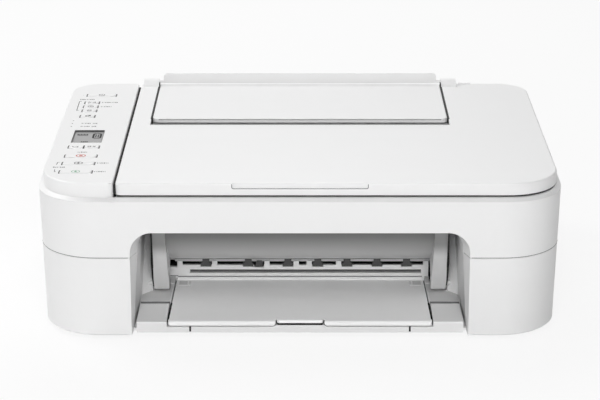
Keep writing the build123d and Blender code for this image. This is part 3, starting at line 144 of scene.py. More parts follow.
class Effects:
    """Shader groups that several finishes share, each built once."""

    def __init__(self) -> None:
        """Builds every group."""
        self.grain = self._grain()
        self.mottle = self._mottle()
        self.brushed = self._brushed()

    @staticmethod
    def _grain() -> bpy.types.NodeTree:
        """Fine etched grain of moulded plastic.

        Returns:
            A group whose height is fine noise, and whose roughness swings about a middle with broad noise.
        """
        group, given, result = new_group(
            "Moulded Grain",
            [("Size", Socket.NUMBER, 2500.0), ("Depth", Socket.NUMBER, 0.2),
             ("Middle Roughness", Socket.NUMBER, 0.4), ("Roughness Swing", Socket.NUMBER, 0.06)],
            [("Height", Socket.NUMBER), ("Roughness", Socket.NUMBER)])
        place = add_node(group, "ShaderNodeTexCoord")
        fine = add_node(group, "ShaderNodeTexNoise", Detail=2.0)
        height = add_node(group, "ShaderNodeMath", operation="MULTIPLY")
        broad = add_node(group, "ShaderNodeTexNoise", Scale=35.0, Detail=3.0)
        centred = add_node(group, "ShaderNodeMath", operation="SUBTRACT")
        centred.inputs[1].default_value = 0.5
        swing = add_node(group, "ShaderNodeMath", operation="MULTIPLY_ADD")
        wire(group,
             (place, "Object", fine, "Vector"), (given, "Size", fine, "Scale"),
             (fine, "Fac", height, 0), (given, "Depth", height, 1),
             (place, "Object", broad, "Vector"), (broad, "Fac", centred, 0), (centred, 0, swing, 0),
             (given, "Roughness Swing", swing, 1), (given, "Middle Roughness", swing, 2),
             (height, 0, result, "Height"), (swing, 0, result, "Roughness"))
        return group

    @staticmethod
    def _mottle() -> bpy.types.NodeTree:
        """Faint cloudiness of a pigment.

        Returns:
            A group that mixes two near colours by broad, soft noise.
        """
        group, given, result = new_group(
            "Pigment Mottle",
            [("Color", Socket.COLOR, (0.8, 0.8, 0.8, 1)), ("Second Color", Socket.COLOR, (0.7, 0.7, 0.7, 1)),
             ("Scale", Socket.NUMBER, 18.0)],
            [("Color", Socket.COLOR)])
        place = add_node(group, "ShaderNodeTexCoord")
        cloud = add_node(group, "ShaderNodeTexNoise", Detail=4.0, Roughness=0.55)
        mix = add_node(group, "ShaderNodeMix", data_type="RGBA")
        wire(group,
             (place, "Object", cloud, "Vector"), (given, "Scale", cloud, "Scale"),
             (cloud, "Fac", mix, MIX_SHARE), (given, "Color", mix, MIX_FIRST),
             (given, "Second Color", mix, MIX_SECOND), (mix, MIX_RESULT, result, "Color"))
        return group

    @staticmethod
    def _brushed() -> bpy.types.NodeTree:
        """Draw marks along X on rolled or ground metal.

        Returns:
            A group whose height and mask are noise stretched along X.
        """
        group, given, result = new_group(
            "Drawn Metal", [("Fineness", Socket.NUMBER, 900.0)],
            [("Height", Socket.NUMBER), ("Mask", Socket.NUMBER)])
        place = add_node(group, "ShaderNodeTexCoord")
        stretch = add_node(group, "ShaderNodeMapping", Scale=(0.02, 1.0, 1.0))
        marks = add_node(group, "ShaderNodeTexNoise", Detail=3.0)
        wire(group,
             (place, "Object", stretch, "Vector"), (stretch, 0, marks, "Vector"),
             (given, "Fineness", marks, "Scale"),
             (marks, "Fac", result, "Height"), (marks, "Fac", result, "Mask"))
        return group


EFFECTS = Effects()


def new_material(name: str) -> tuple[bpy.types.Material, bpy.types.NodeTree, bpy.types.Node]:
    """Makes an empty node material.

    Args:
        name: the material's name.

    Returns:
        The material, its tree and its Principled shader.
    """
    material = bpy.data.materials.new(name)
    material.use_nodes = True
    tree = material.node_tree
    return material, tree, tree.nodes["Principled BSDF"]


def place_group(tree: bpy.types.NodeTree, group: bpy.types.NodeTree, **values: object) -> bpy.types.Node:
    """Places a shared group in a material.

    Args:
        tree: the material's tree.
        group: the shared group.
        values: the group's inputs, with spaces written as underscores.

    Returns:
        The group node.
    """
    node = tree.nodes.new("ShaderNodeGroup")
    node.node_tree = group
    for key, value in values.items():
        node.inputs[key.replace("_", " ")].default_value = value
    return node


def shade(color: Color, factor: float = 1.0) -> tuple[float, ...]:
    """A colour times a factor, with full alpha."""
    return (*(min(1.0, part * factor) for part in color), 1.0)


def grey(level: float) -> Color:
    """The linear colour of a display grey from 0 to 1, by the usual display curve."""
    value = level / 12.92 if level <= 0.04045 else ((level + 0.055) / 1.055) ** 2.4
    return (value, value, value)


@dataclass(frozen=True)
class Finish:
    """A named finish with one main colour; each kind below builds its own material."""

    name: str
    color: Color

    def material(self) -> bpy.types.Material:
        """Builds the material."""
        raise NotImplementedError(self.name)

    def pigment(self, tree: bpy.types.NodeTree, second: float, scale: float = 18.0) -> bpy.types.Node:
        """Places the mottle between the colour and the same colour times the second value."""
        return place_group(tree, EFFECTS.mottle, Color=shade(self.color),
                           Second_Color=shade(self.color, second), Scale=scale)


@dataclass(frozen=True)
class MouldedPlastic(Finish):
    """Injection-moulded plastic: pigment with a faint cloudiness and an etched grain."""

    roughness: float = 0.42
    grain_size: float = 2600.0
    grain_depth: float = 0.15
    mottle: float = 0.985
    specular: float = 0.5
    bump: float = 0.25
    bump_height: float = 0.0001

    def material(self) -> bpy.types.Material:
        """Builds the material.

        Returns:
            The plastic with its colour, roughness and bump.
        """
        material, tree, shader = new_material(self.name)
        pigment = self.pigment(tree, self.mottle)
        grain = place_group(tree, EFFECTS.grain, Size=self.grain_size, Depth=self.grain_depth,
                            Middle_Roughness=self.roughness)
        bump = add_node(tree, "ShaderNodeBump", Strength=self.bump, Distance=self.bump_height)
        wire(tree,
             (pigment, "Color", shader, "Base Color"), (grain, "Roughness", shader, "Roughness"),
             (grain, "Height", bump, "Height"), (bump, "Normal", shader, "Normal"))
        shader.inputs["Specular IOR Level"].default_value = self.specular
        return material


@dataclass(frozen=True)
class PaintedShadeLiner(MouldedPlastic):
    """A dull, barely reflecting dark finish whose colour is painted shade in a joint, a gap or at an edge."""

    roughness: float = 0.7
    specular: float = 0.1


@dataclass(frozen=True)
class PaintedShadingBand:
    """A stretch of painted light and shade on a moulding, whose colour changes evenly between two colours;
    lengths in metres.

    The way is 0, 1 or 2 for X, Y or Z, and 3 for the distance from the middle plane.
    """

    way: int
    start: float
    end: float
    start_color: Color
    end_color: Color
    beyond_x: float = 0.0


@dataclass(frozen=True)
class PaintedShadingPlastic(MouldedPlastic):
    """Moulded plastic with painted light and shade: its colour changes evenly along the part, with bands laid
    over one another.
    """

    bands: tuple[PaintedShadingBand, ...] = ()

    def material(self) -> bpy.types.Material:
        """Builds the material.

        Each band mixes its two colours by the share of the way from its start to its end, and a later band
        covers an earlier one where the distance from the middle plane is beyond its limit.

        Returns:
            The plastic with its bands.
        """
        material = super().material()
        tree = material.node_tree
        shader = tree.nodes["Principled BSDF"]
        place = add_node(tree, "ShaderNodeTexCoord")
        parts = add_node(tree, "ShaderNodeSeparateXYZ")
        side = add_node(tree, "ShaderNodeMath", operation="ABSOLUTE")
        wire(tree, (place, "Object", parts, 0), (parts, 0, side, 0))
        ways = (*parts.outputs, side.outputs[0])
        below = shader.inputs["Base Color"].links[0].from_socket
        for band in self.bands:
            share = add_node(tree, "ShaderNodeMapRange", interpolation_type="SMOOTHSTEP", From_Min=band.start,
                             From_Max=band.end)
            tree.links.new(ways[band.way], share.inputs["Value"])
            ramp = add_node(tree, "ShaderNodeMix", data_type="RGBA")
            ramp.inputs[MIX_FIRST].default_value = shade(band.start_color)
            ramp.inputs[MIX_SECOND].default_value = shade(band.end_color)
            inside = add_node(tree, "ShaderNodeMath", operation="GREATER_THAN")
            inside.inputs[1].default_value = band.beyond_x
            over = add_node(tree, "ShaderNodeMix", data_type="RGBA")
            tree.links.new(below, over.inputs[MIX_FIRST])
            wire(tree,
                 (share, "Result", ramp, MIX_SHARE), (side, 0, inside, 0), (inside, 0, over, MIX_SHARE),
                 (ramp, MIX_RESULT, over, MIX_SECOND))
            below = over.outputs[MIX_RESULT]
        tree.links.new(below, shader.inputs["Base Color"])
        return material


@dataclass(frozen=True)
class DrawnMetal(Finish):
    """Steel or plated metal with marks along its length."""

    roughness: float = 0.3
    smoother: float = 0.08
    rougher: float = 0.1
    mottle: float = 0.93
    bump: float = 0.12
    bump_height: float = 0.00005

    def material(self) -> bpy.types.Material:
        """Builds the material.

        Returns:
            The metal with drawn marks in its roughness and bump.
        """
        material, tree, shader = new_material(self.name)
        marks = place_group(tree, EFFECTS.brushed)
        spread = add_node(tree, "ShaderNodeMapRange", To_Min=self.roughness - self.smoother,
                          To_Max=self.roughness + self.rougher)
        pigment = self.pigment(tree, self.mottle)
        bump = add_node(tree, "ShaderNodeBump", Strength=self.bump, Distance=self.bump_height)
        wire(tree,
             (marks, "Mask", spread, "Value"), (spread, "Result", shader, "Roughness"),
             (marks, "Height", bump, "Height"), (bump, "Normal", shader, "Normal"),
             (pigment, "Color", shader, "Base Color"))
        shader.inputs["Metallic"].default_value = 1.0
        return material


@dataclass(frozen=True)
class ClearPane(Finish):
    """Clear flat glass with a faint green body."""

    refraction: float = 1.52
    smear_size: float = 60.0
    smear_swing: float = 0.06
    roughness: float = 0.05

    def material(self) -> bpy.types.Material:
        """Builds the material.

        Returns:
            The glass with faint smears in its roughness.
        """
        material, tree, shader = new_material(self.name)
        smears = place_group(tree, EFFECTS.grain, Size=self.smear_size, Depth=0.0,
                             Middle_Roughness=self.roughness, Roughness_Swing=self.smear_swing)
        wire(tree, (smears, "Roughness", shader, "Roughness"))
        shader.inputs["Base Color"].default_value = shade(self.color)
        shader.inputs["Transmission Weight"].default_value = 1.0
        shader.inputs["IOR"].default_value = self.refraction
        return material


@dataclass(frozen=True)
class CircuitBoard(Finish):
    """Green solder mask with faint tracks."""

    roughness: float = 0.35
    cells: float = 220.0
    track_width: float = 0.012
    second_mask: float = 0.85
    track_shine: float = 1.6

    def material(self) -> bpy.types.Material:
        """Builds the material.

        Returns:
            The board with lighter tracks on square cells.
        """
        material, tree, shader = new_material(self.name)
        place = add_node(tree, "ShaderNodeTexCoord")
        tracks = add_node(tree, "ShaderNodeTexBrick", Scale=self.cells, Mortar_Size=self.track_width,
                          Color1=shade(self.color), Color2=shade(self.color, self.second_mask),
                          Mortar=shade(self.color, self.track_shine))
        wire(tree, (place, "Object", tracks, "Vector"), (tracks, "Color", shader, "Base Color"))
        shader.inputs["Roughness"].default_value = self.roughness
        return material


@dataclass(frozen=True)
class PrintedInk(Finish):
    """Pad-printed ink, a little uneven."""

    roughness: float = 0.5
    mottle: float = 0.9
    mottle_scale: float = 400.0
    specular: float = 0.05

    def material(self) -> bpy.types.Material:
        """Builds the material.

        Returns:
            The ink with its small unevenness.
        """
        material, tree, shader = new_material(self.name)
        pigment = self.pigment(tree, self.mottle, self.mottle_scale)
        wire(tree, (pigment, "Color", shader, "Base Color"))
        shader.inputs["Roughness"].default_value = self.roughness
        shader.inputs["Specular IOR Level"].default_value = self.specular
        return material


# Finishes of this printer


WHITE: Color = (1.0, 1.0, 1.0)
WHITE_SHELL = MouldedPlastic("white satin shell", grey(0.945), roughness=0.38, grain_size=3200.0,
                             grain_depth=0.12)
PANEL_WHITE = MouldedPlastic("white panel plate", grey(0.95), roughness=0.3, grain_depth=0.06)
KEY_WHITE = MouldedPlastic("white key", grey(0.955), roughness=0.28, grain_depth=0.04)
# Painted shade on the bay's cheek walls: darker further from the middle, lighter next to the arms.
BAY_GREY_PAINTED_SHADE = PaintedShadingPlastic("bay wall grey with painted shade", grey(0.87), roughness=0.45, bands=(
    PaintedShadingBand(3, 0.1378, 0.1345, grey(0.70), grey(1.0), beyond_x=0.1262),))
# Painted shade on the output cover: the deflector darker towards its top, the arms darker at their top and
# lighter lower down.
COVER_GREY_PAINTED_SHADE = PaintedShadingPlastic("output cover grey with painted shade", grey(0.80), roughness=0.42, bands=(
    PaintedShadingBand(2, 0.088, 0.046, grey(0.43), grey(0.80), beyond_x=-1.0),
    PaintedShadingBand(2, 0.073, 0.055, grey(0.60), grey(0.88), beyond_x=0.1124)))
# Painted light on the tray panel: a little lighter towards its front.
TRAY_GREY_PAINTED_LIGHT = PaintedShadingPlastic("tray grey with painted light", grey(0.93), roughness=0.45, grain_depth=0.25, bands=(
    PaintedShadingBand(1, -0.1420, -0.0900, grey(1.0), grey(0.97), beyond_x=-1.0),))
LIP_GREY = MouldedPlastic("tray front grey", grey(0.925), roughness=0.4)
FRAME_GREY = MouldedPlastic("scanner frame grey", grey(0.85), roughness=0.5)
BEAM_GREY = MouldedPlastic("exit beam grey", grey(0.99), roughness=0.45)
INNER_BLACK = MouldedPlastic("inner black plastic", grey(0.17), roughness=0.5, grain_depth=0.3)
HOLDER_DARK = MouldedPlastic("star wheel holder", grey(0.29), roughness=0.5)
SOFT_BLACK = MouldedPlastic("roller rubber", grey(0.13), roughness=0.75, grain_size=1500.0, grain_depth=0.5)
FOOT_RUBBER = MouldedPlastic("foot rubber", grey(0.30), roughness=0.8, grain_size=1500.0, grain_depth=0.5)
GEAR_WHITE = MouldedPlastic("gear plastic", grey(0.90), roughness=0.4)
GUIDE_GREY = MouldedPlastic("guide grey", grey(0.62), roughness=0.45)
PAD_WHITE = MouldedPlastic("pad film", grey(0.96), roughness=0.6, grain_size=900.0, grain_depth=0.3)
STEEL = DrawnMetal("zinc-plated steel", grey(0.72))
MOTOR_CAN = DrawnMetal("motor can", grey(0.6), roughness=0.4)
PLATEN_GLASS = ClearPane("platen glass", (0.93, 0.97, 0.95))
BOARD_GREEN = CircuitBoard("green board", (0.03, 0.16, 0.07))
LCD_GREY = MouldedPlastic("liquid crystal", grey(0.60), roughness=0.18, grain_depth=0.0)
MARK_DARK = PrintedInk("dark grey ink", grey(0.20))
MARK_GREY = PrintedInk("light grey ink", grey(0.44))
STOP_RED = PrintedInk("stop key ink", (0.62, 0.16, 0.13))
START_GREEN = PrintedInk("start key ink", (0.22, 0.46, 0.30))
LAMP_DARK = MouldedPlastic("unlit lamp window", grey(0.36), roughness=0.2, grain_depth=0.0)
LAMP_WHITE = MouldedPlastic("white lamp window", grey(0.88), roughness=0.2, grain_depth=0.0)
LCD_BLACK = MouldedPlastic("display surround", grey(0.16), roughness=0.35, grain_depth=0.05)
SEGMENT_INK = PrintedInk("display segments", grey(0.06))
SCREW_STEEL = DrawnMetal("screw steel", grey(0.66), roughness=0.35)
CABLE_WHITE = MouldedPlastic("ribbon cable", grey(0.90), roughness=0.35, grain_depth=0.02)
STRIP_SMOKE = MouldedPlastic("encoder strip", grey(0.45), roughness=0.15, grain_depth=0.0)
BAND_BLUE = MouldedPlastic("cartridge band", (0.09, 0.16, 0.34), roughness=0.4)
# Painted shade: the dark and grey liners, lines and mats below stand for shade in gaps and at edges; the edge
# bead's grey is partly a painted highlight.
SHELF_JOINT_SHADE = PaintedShadeLiner("painted shelf joint shade", grey(0.46), roughness=0.6)
SLOT_SHADE_GREY = PaintedShadeLiner("painted slot shade", grey(0.40), roughness=0.6)
BEAD_GREY = MouldedPlastic("edge bead", grey(0.88), roughness=0.4)
JOINT_SHADE_DARK = PaintedShadeLiner("painted joint shade", grey(0.20), roughness=0.8, grain_size=1200.0, grain_depth=0.5)
EDGE_SHADE_GREY = PaintedShadeLiner("painted edge shade grey", grey(0.30))
RECESS_SIDE_SHADE = PaintedShadeLiner("painted recess shade", grey(0.26))
SEAM_SHADE_GREY = PaintedShadeLiner("painted seam shade", grey(0.55), roughness=0.6)
GRIP_SHADE_GREY = PaintedShadeLiner("painted grip shade", grey(0.42), roughness=0.5)
RIM_SHADE_GREY = PaintedShadeLiner("painted rim shade", grey(0.58), roughness=0.5)
ARM_SLIT_SHADE = PaintedShadeLiner("painted arm slit shade", grey(0.16))
SHELF_SHADE_GREY = MouldedPlastic("painted shelf shade", grey(0.80), roughness=0.5)
GAP_SHADE_BLACK = PaintedShadeLiner("painted gap shade", grey(0.10), roughness=0.8)
POCKET_GREY = MouldedPlastic("catch pocket", grey(0.84), roughness=0.5)

KEY_NAMES = ("button_power", "button_wireless", "button_information", "button_direct", "button_paper",
             "button_copies", "button_fit", "button_stop", "button_black_start", "button_color_start")


# Surfaces


@dataclass
class Surface:
    """Points and faces of a piece before it becomes a mesh; lengths in millimetres."""

    points: np.ndarray = field(default_factory=lambda: np.zeros((0, 3)))
    faces: list[np.ndarray] = field(default_factory=list)

    def __add__(self, other: "Surface") -> "Surface":
        """Both surfaces as one piece, with the second one's corner numbers moved up."""
        shifted = [corners + len(self.points) for corners in other.faces]
        return Surface(np.concatenate([self.points, other.points]), self.faces + shifted)

    def moved(self, x: float, y: float, z: float = 0.0) -> "Surface":
        """The surface shifted by a step."""
        return Surface(self.points + np.array([x, y, z]), self.faces)

    def turned_x(self, degrees: float) -> "Surface":
        """The surface turned about the X axis through the origin.

        Args:
            degrees: the turn, from +Y towards +Z.

        Returns:
            The turned surface.
        """
        angle = math.radians(degrees)
        cosine, sine = math.cos(angle), math.sin(angle)
        turn = np.array([[1, 0, 0], [0, cosine, -sine], [0, sine, cosine]])
        return Surface(self.points @ turn.T, self.faces)

    def mirrored_x(self) -> "Surface":
        """The surface on the other side of the middle plane, with its faces turned round to stay outward."""
        return Surface(self.points * np.array([-1, 1, 1]), [corners[:, ::-1] for corners in self.faces])

    def both_sides(self) -> "Surface":
        """The surface together with its mirror image."""
        return self + self.mirrored_x()

    def swapped(self, *order: int) -> "Surface":
        """The surface with two of its axes exchanged, and its faces turned round to stay outward."""
        return Surface(self.points[:, list(order)], [corners[:, ::-1] for corners in self.faces])


def stacked(rings: np.ndarray, caps: bool = True) -> Surface:
    """A closed skin through a stack of closed outlines.

    Point (i, j) of the skin is corner j of outline i. Quads join neighbours i, i + 1 and j, j + 1, where j
    wraps round, and the first and last outlines are closed by one face each.

    Args:
        rings: outlines with shape (count, corners, 3), all in the same sense.
        caps: whether both ends are closed.

    Returns:
        The skin.
    """
    count, corners = rings.shape[0], rings.shape[1]
    row, column = np.meshgrid(np.arange(count - 1), np.arange(corners), indexing="ij")
    following = (column + 1) % corners
    quads = np.stack([row * corners + column, row * corners + following, (row + 1) * corners + following,
                      (row + 1) * corners + column], axis=-1).reshape(-1, 4)
    faces = [quads]
    if caps:
        faces.append(np.arange(corners)[None, ::-1])
        faces.append((count - 1) * corners + np.arange(corners)[None, :])
    return Surface(rings.reshape(-1, 3), faces)


def at_height(outline: np.ndarray, height: float) -> np.ndarray:
    """A flat outline or path, with one height for all of its points."""
    return np.column_stack([outline, np.full(len(outline), height)])


def rounded_outline(width: float, depth: float, radius: float, steps: int) -> np.ndarray:
    """A rectangle about the origin with quarter circles at its corners, anticlockwise.

    Corner k has its centre at the inner corner point, and its angle runs from 90k to 90k + 90 degrees.

    Args:
        width: size along X.
        depth: size along Y.
        radius: corner radius.
        steps: points in each quarter circle, less one.

    Returns:
        The corners with shape (4 * (steps + 1), 2).
    """
    angle = np.radians(np.linspace(0, 90, steps + 1)[None, :] + 90 * np.arange(4)[:, None])
    centre_x = (width / 2 - radius) * np.array([1, -1, -1, 1])[:, None]
    centre_y = (depth / 2 - radius) * np.array([1, 1, -1, -1])[:, None]
    points = np.stack([centre_x + radius * np.cos(angle), centre_y + radius * np.sin(angle)], axis=-1)
    return points.reshape(-1, 2)


def circle_outline(radius: float, corners: int = 24, stretch: float = 1.0) -> np.ndarray:
    """A circle about the origin, x = r cos a and y = stretch r sin a."""
    angle = np.linspace(0, 2 * np.pi, corners, endpoint=False)
    return radius * np.stack([np.cos(angle), stretch * np.sin(angle)], axis=-1)


def plate(outline: np.ndarray, base: float, top: float, bevel: float = 0.0) -> Surface:
    """A flat plate from a convex outline, with an optional bevel round its top.

    The outline is repeated at the base and below the bevel, and at the top it is drawn towards its middle by
    the bevel, each corner along its own direction from the middle.

    Args:
        outline: corners with shape (n, 2), anticlockwise.
        base: lowest height.
        top: highest height.
        bevel: width and height of the bevel.

    Returns:
        The closed plate.
    """
    middle = outline.mean(axis=0)
    arm = outline - middle
    length = np.linalg.norm(arm, axis=1, keepdims=True)
    inner = middle + arm * np.clip(1 - bevel / length, 0, 1)
    bevelled = [at_height(inner, top)] if bevel > 0 else []
    return stacked(np.stack([at_height(outline, base), at_height(outline, top - bevel), *bevelled]))


@dataclass(frozen=True)
class Bar:
    """A small bar with rounded corners and a bevelled top: its limits on each axis, in millimetres."""

    x: Span
    y: Span
    z: Span
    radius: float = 0.15
    bevel: float = 0.1
    steps: int = 2

    def surface(self) -> Surface:
        """The bar as a plate whose outline is the rounded rectangle between its limits."""
        outline = rounded_outline(self.x[1] - self.x[0], self.y[1] - self.y[0], self.radius, self.steps)
        return plate(outline, *self.z, self.bevel).moved(sum(self.x) / 2, sum(self.y) / 2)


def line_band(points: Path, width: float, base: float, top: float, closed: bool = False,
              least_cosine: float = 0.4) -> Surface:
    """A flat line of even width along a path in the XY plane.

    At each point the line's sides lie half a width to the left and right, square to the mean of the
    directions before and after it, and longer by one over the cosine of half the turn, so that corners keep
    the width.

    Args:
        points: the path with shape (n, 2).
        width: width of the line.
        base: lowest height.
        top: highest height.
        closed: whether the path runs back to its start.
        least_cosine: the least cosine, so that a sharp corner's sides stay near it.

    Returns:
        The line as a thin closed bar.
    """
    path = np.asarray(points, dtype=float)
    ahead = np.roll(path, -1, axis=0) - path
    behind = path - np.roll(path, 1, axis=0)
    if not closed:
        ahead[-1] = behind[-1]
        behind[0] = ahead[0]
    ahead /= np.linalg.norm(ahead, axis=1, keepdims=True)
    behind /= np.linalg.norm(behind, axis=1, keepdims=True)
    mean = ahead + behind
    mean /= np.linalg.norm(mean, axis=1, keepdims=True)
    reach = width / 2 / np.clip((mean * ahead).sum(axis=1, keepdims=True), least_cosine, 1)
    side = np.stack([-mean[:, 1], mean[:, 0]], axis=-1) * reach
    rings = np.stack([at_height(path + side, base), at_height(path - side, base),
                      at_height(path - side, top), at_height(path + side, top)], axis=1)
    if closed:
        rings = np.concatenate([rings, rings[:1]])
    return stacked(rings, caps=not closed)


def arc_path(radius: float, start: float, end: float, steps: int) -> np.ndarray:
    """Points of a circular arc about the origin between two angles in degrees."""
    angle = np.radians(np.linspace(start, end, steps))
    return radius * np.stack([np.cos(angle), np.sin(angle)], axis=-1)


def tube(path: np.ndarray, radius: float, sides: int = 8) -> Surface:
    """A round wire along a path in space.

    The circle at each point lies square to the path. Its first direction is square to the path and to a fixed
    axis, which is the axis that the path follows least.

    Args:
        path: points with shape (n, 3).
        radius: half the wire's thickness.
        sides: corners of the circle.

    Returns:
        The closed wire.
    """
    along = np.gradient(path, axis=0)
    along /= np.linalg.norm(along, axis=1, keepdims=True)
    axis = np.eye(3)[np.abs(along).sum(axis=0).argmin()]
    first = np.cross(along, axis)
    first /= np.linalg.norm(first, axis=1, keepdims=True)
    second = np.cross(along, first)
    circle = circle_outline(radius, sides)[None, :, :, None]
    rings = path[:, None, :] + circle[:, :, 0] * first[:, None, :] + circle[:, :, 1] * second[:, None, :]
    return stacked(rings)


def ribbon(path: np.ndarray, width: float, thickness: float) -> Surface:
    """A flat cable whose width lies along X, along a path in the YZ plane.

    Each cross-section is a rectangle: half the width either way along X, and half the thickness either way
    square to the path.

    Args:
        path: points with shape (n, 3).
        width: width along X.
        thickness: thickness of the cable.

    Returns:
        The closed ribbon.
    """
    along = np.gradient(path, axis=0)
    along /= np.linalg.norm(along, axis=1, keepdims=True)
    across = np.array([1.0, 0.0, 0.0])
    square = np.cross(along, across)
    square /= np.linalg.norm(square, axis=1, keepdims=True)
    half = across * width / 2
    up = square * thickness / 2
    rings = np.stack([path - half - up, path + half - up, path + half + up, path - half + up], axis=1)
    return stacked(rings)


def smooth_path(points: Path, steps: int = 10) -> np.ndarray:
    """A smooth run through given points.

    Between two points the run is a cubic whose slope at each point is half the step between that point's
    neighbours.

    Args:
        points: the given points with shape (n, 3).
        steps: parts in each span.

    Returns:
        The run's points.
    """
    given = np.asarray(points, dtype=float)
    slope = np.gradient(given, axis=0)
    share = np.linspace(0, 1, steps, endpoint=False)[:, None, None]
    start, end = given[:-1], given[1:]
    square, cube = share ** 2, share ** 3
    run = ((2 * cube - 3 * square + 1) * start + (cube - 2 * square + share) * slope[:-1]
           + (3 * square - 2 * cube) * end + (cube - square) * slope[1:])
    return np.concatenate([run.transpose(1, 0, 2).reshape(-1, 3), given[-1:]])


def millimetre_box(node: str) -> tuple[np.ndarray, np.ndarray]:
    """Lowest and highest corner of a CAD node at rest, in millimetres."""
    low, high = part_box(node)
    return np.array(low) / MM, np.array(high) / MM


def add_object(name: str, data: bpy.types.ID) -> bpy.types.Object:
    """Makes an object and puts it in the scene.

    Args:
        name: the object's name.
        data: its mesh, lamp or camera.

    Returns:
        The object, at the origin.
    """
    item = bpy.data.objects.new(name, data)
    bpy.context.scene.collection.objects.link(item)
    return item


@dataclass
class Workshop:
    """Turns surfaces into finished pieces that ride on their bodies; the merge distance is in metres."""

    merge_distance: float = 1e-7
    sharp_angle: float = 32.0
    made: dict[str, bpy.types.Material] = field(default_factory=dict)

    def material(self, finish: Finish) -> bpy.types.Material:
        """The material of a finish, made on its first use.

        Args:
            finish: the finish.

        Returns:
            Its one material.
        """
        if finish.name not in self.made:
            self.made[finish.name] = finish.material()
        return self.made[finish.name]

    def piece(self, name: str, surface: Surface, finish: Finish, carrier: Body | str, slot: Slot) -> None:
        """Makes a piece from a surface, in metres, with outward normals.

        Args:
            name: the piece's name.
            surface: its points and faces in millimetres.
            finish: its finish.
            carrier: the body that it rides on; keys and cartridge flaps are named by their CAD body.
            slot: the record's material slot; not used.
        """
        mesh = bpy.data.meshes.new(name)
        faces = [corners for array in surface.faces for corners in array.tolist()]
        mesh.from_pydata((surface.points * MM).tolist(), [], faces)
        sculpt = bmesh.new()
        sculpt.from_mesh(mesh)
        bmesh.ops.remove_doubles(sculpt, verts=sculpt.verts, dist=self.merge_distance)
        bmesh.ops.recalc_face_normals(sculpt, faces=sculpt.faces)
        sculpt.to_mesh(mesh)
        sculpt.free()
        mesh.shade_smooth()
        mesh.set_sharp_from_angle(angle=math.radians(self.sharp_angle))
        mesh.materials.append(self.material(finish))
        item = add_object(name, mesh)
        body = carrier.value if isinstance(carrier, Body) else carrier
        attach(item, body)
        log.info("made %s, %d faces, on %s", name, len(mesh.polygons), body)

    def pair(self, name: str, right: Surface, finish: Finish, carrier: Body, slot: Slot) -> None:
        """Makes a piece on the right side and its mirror image on the left one."""
        self.piece(f"{name}_right", right, finish, carrier, slot)
        self.piece(f"{name}_left", right.mirrored_x(), finish, carrier, slot)


@dataclass(frozen=True)
class StrokeRow:
    """A row of upright display strokes, every second one shorter by the notch; in millimetres."""

    start: float
    pitch: float
    count: int
    low: float
    high: float
    width: float
    notch: float = 0.0


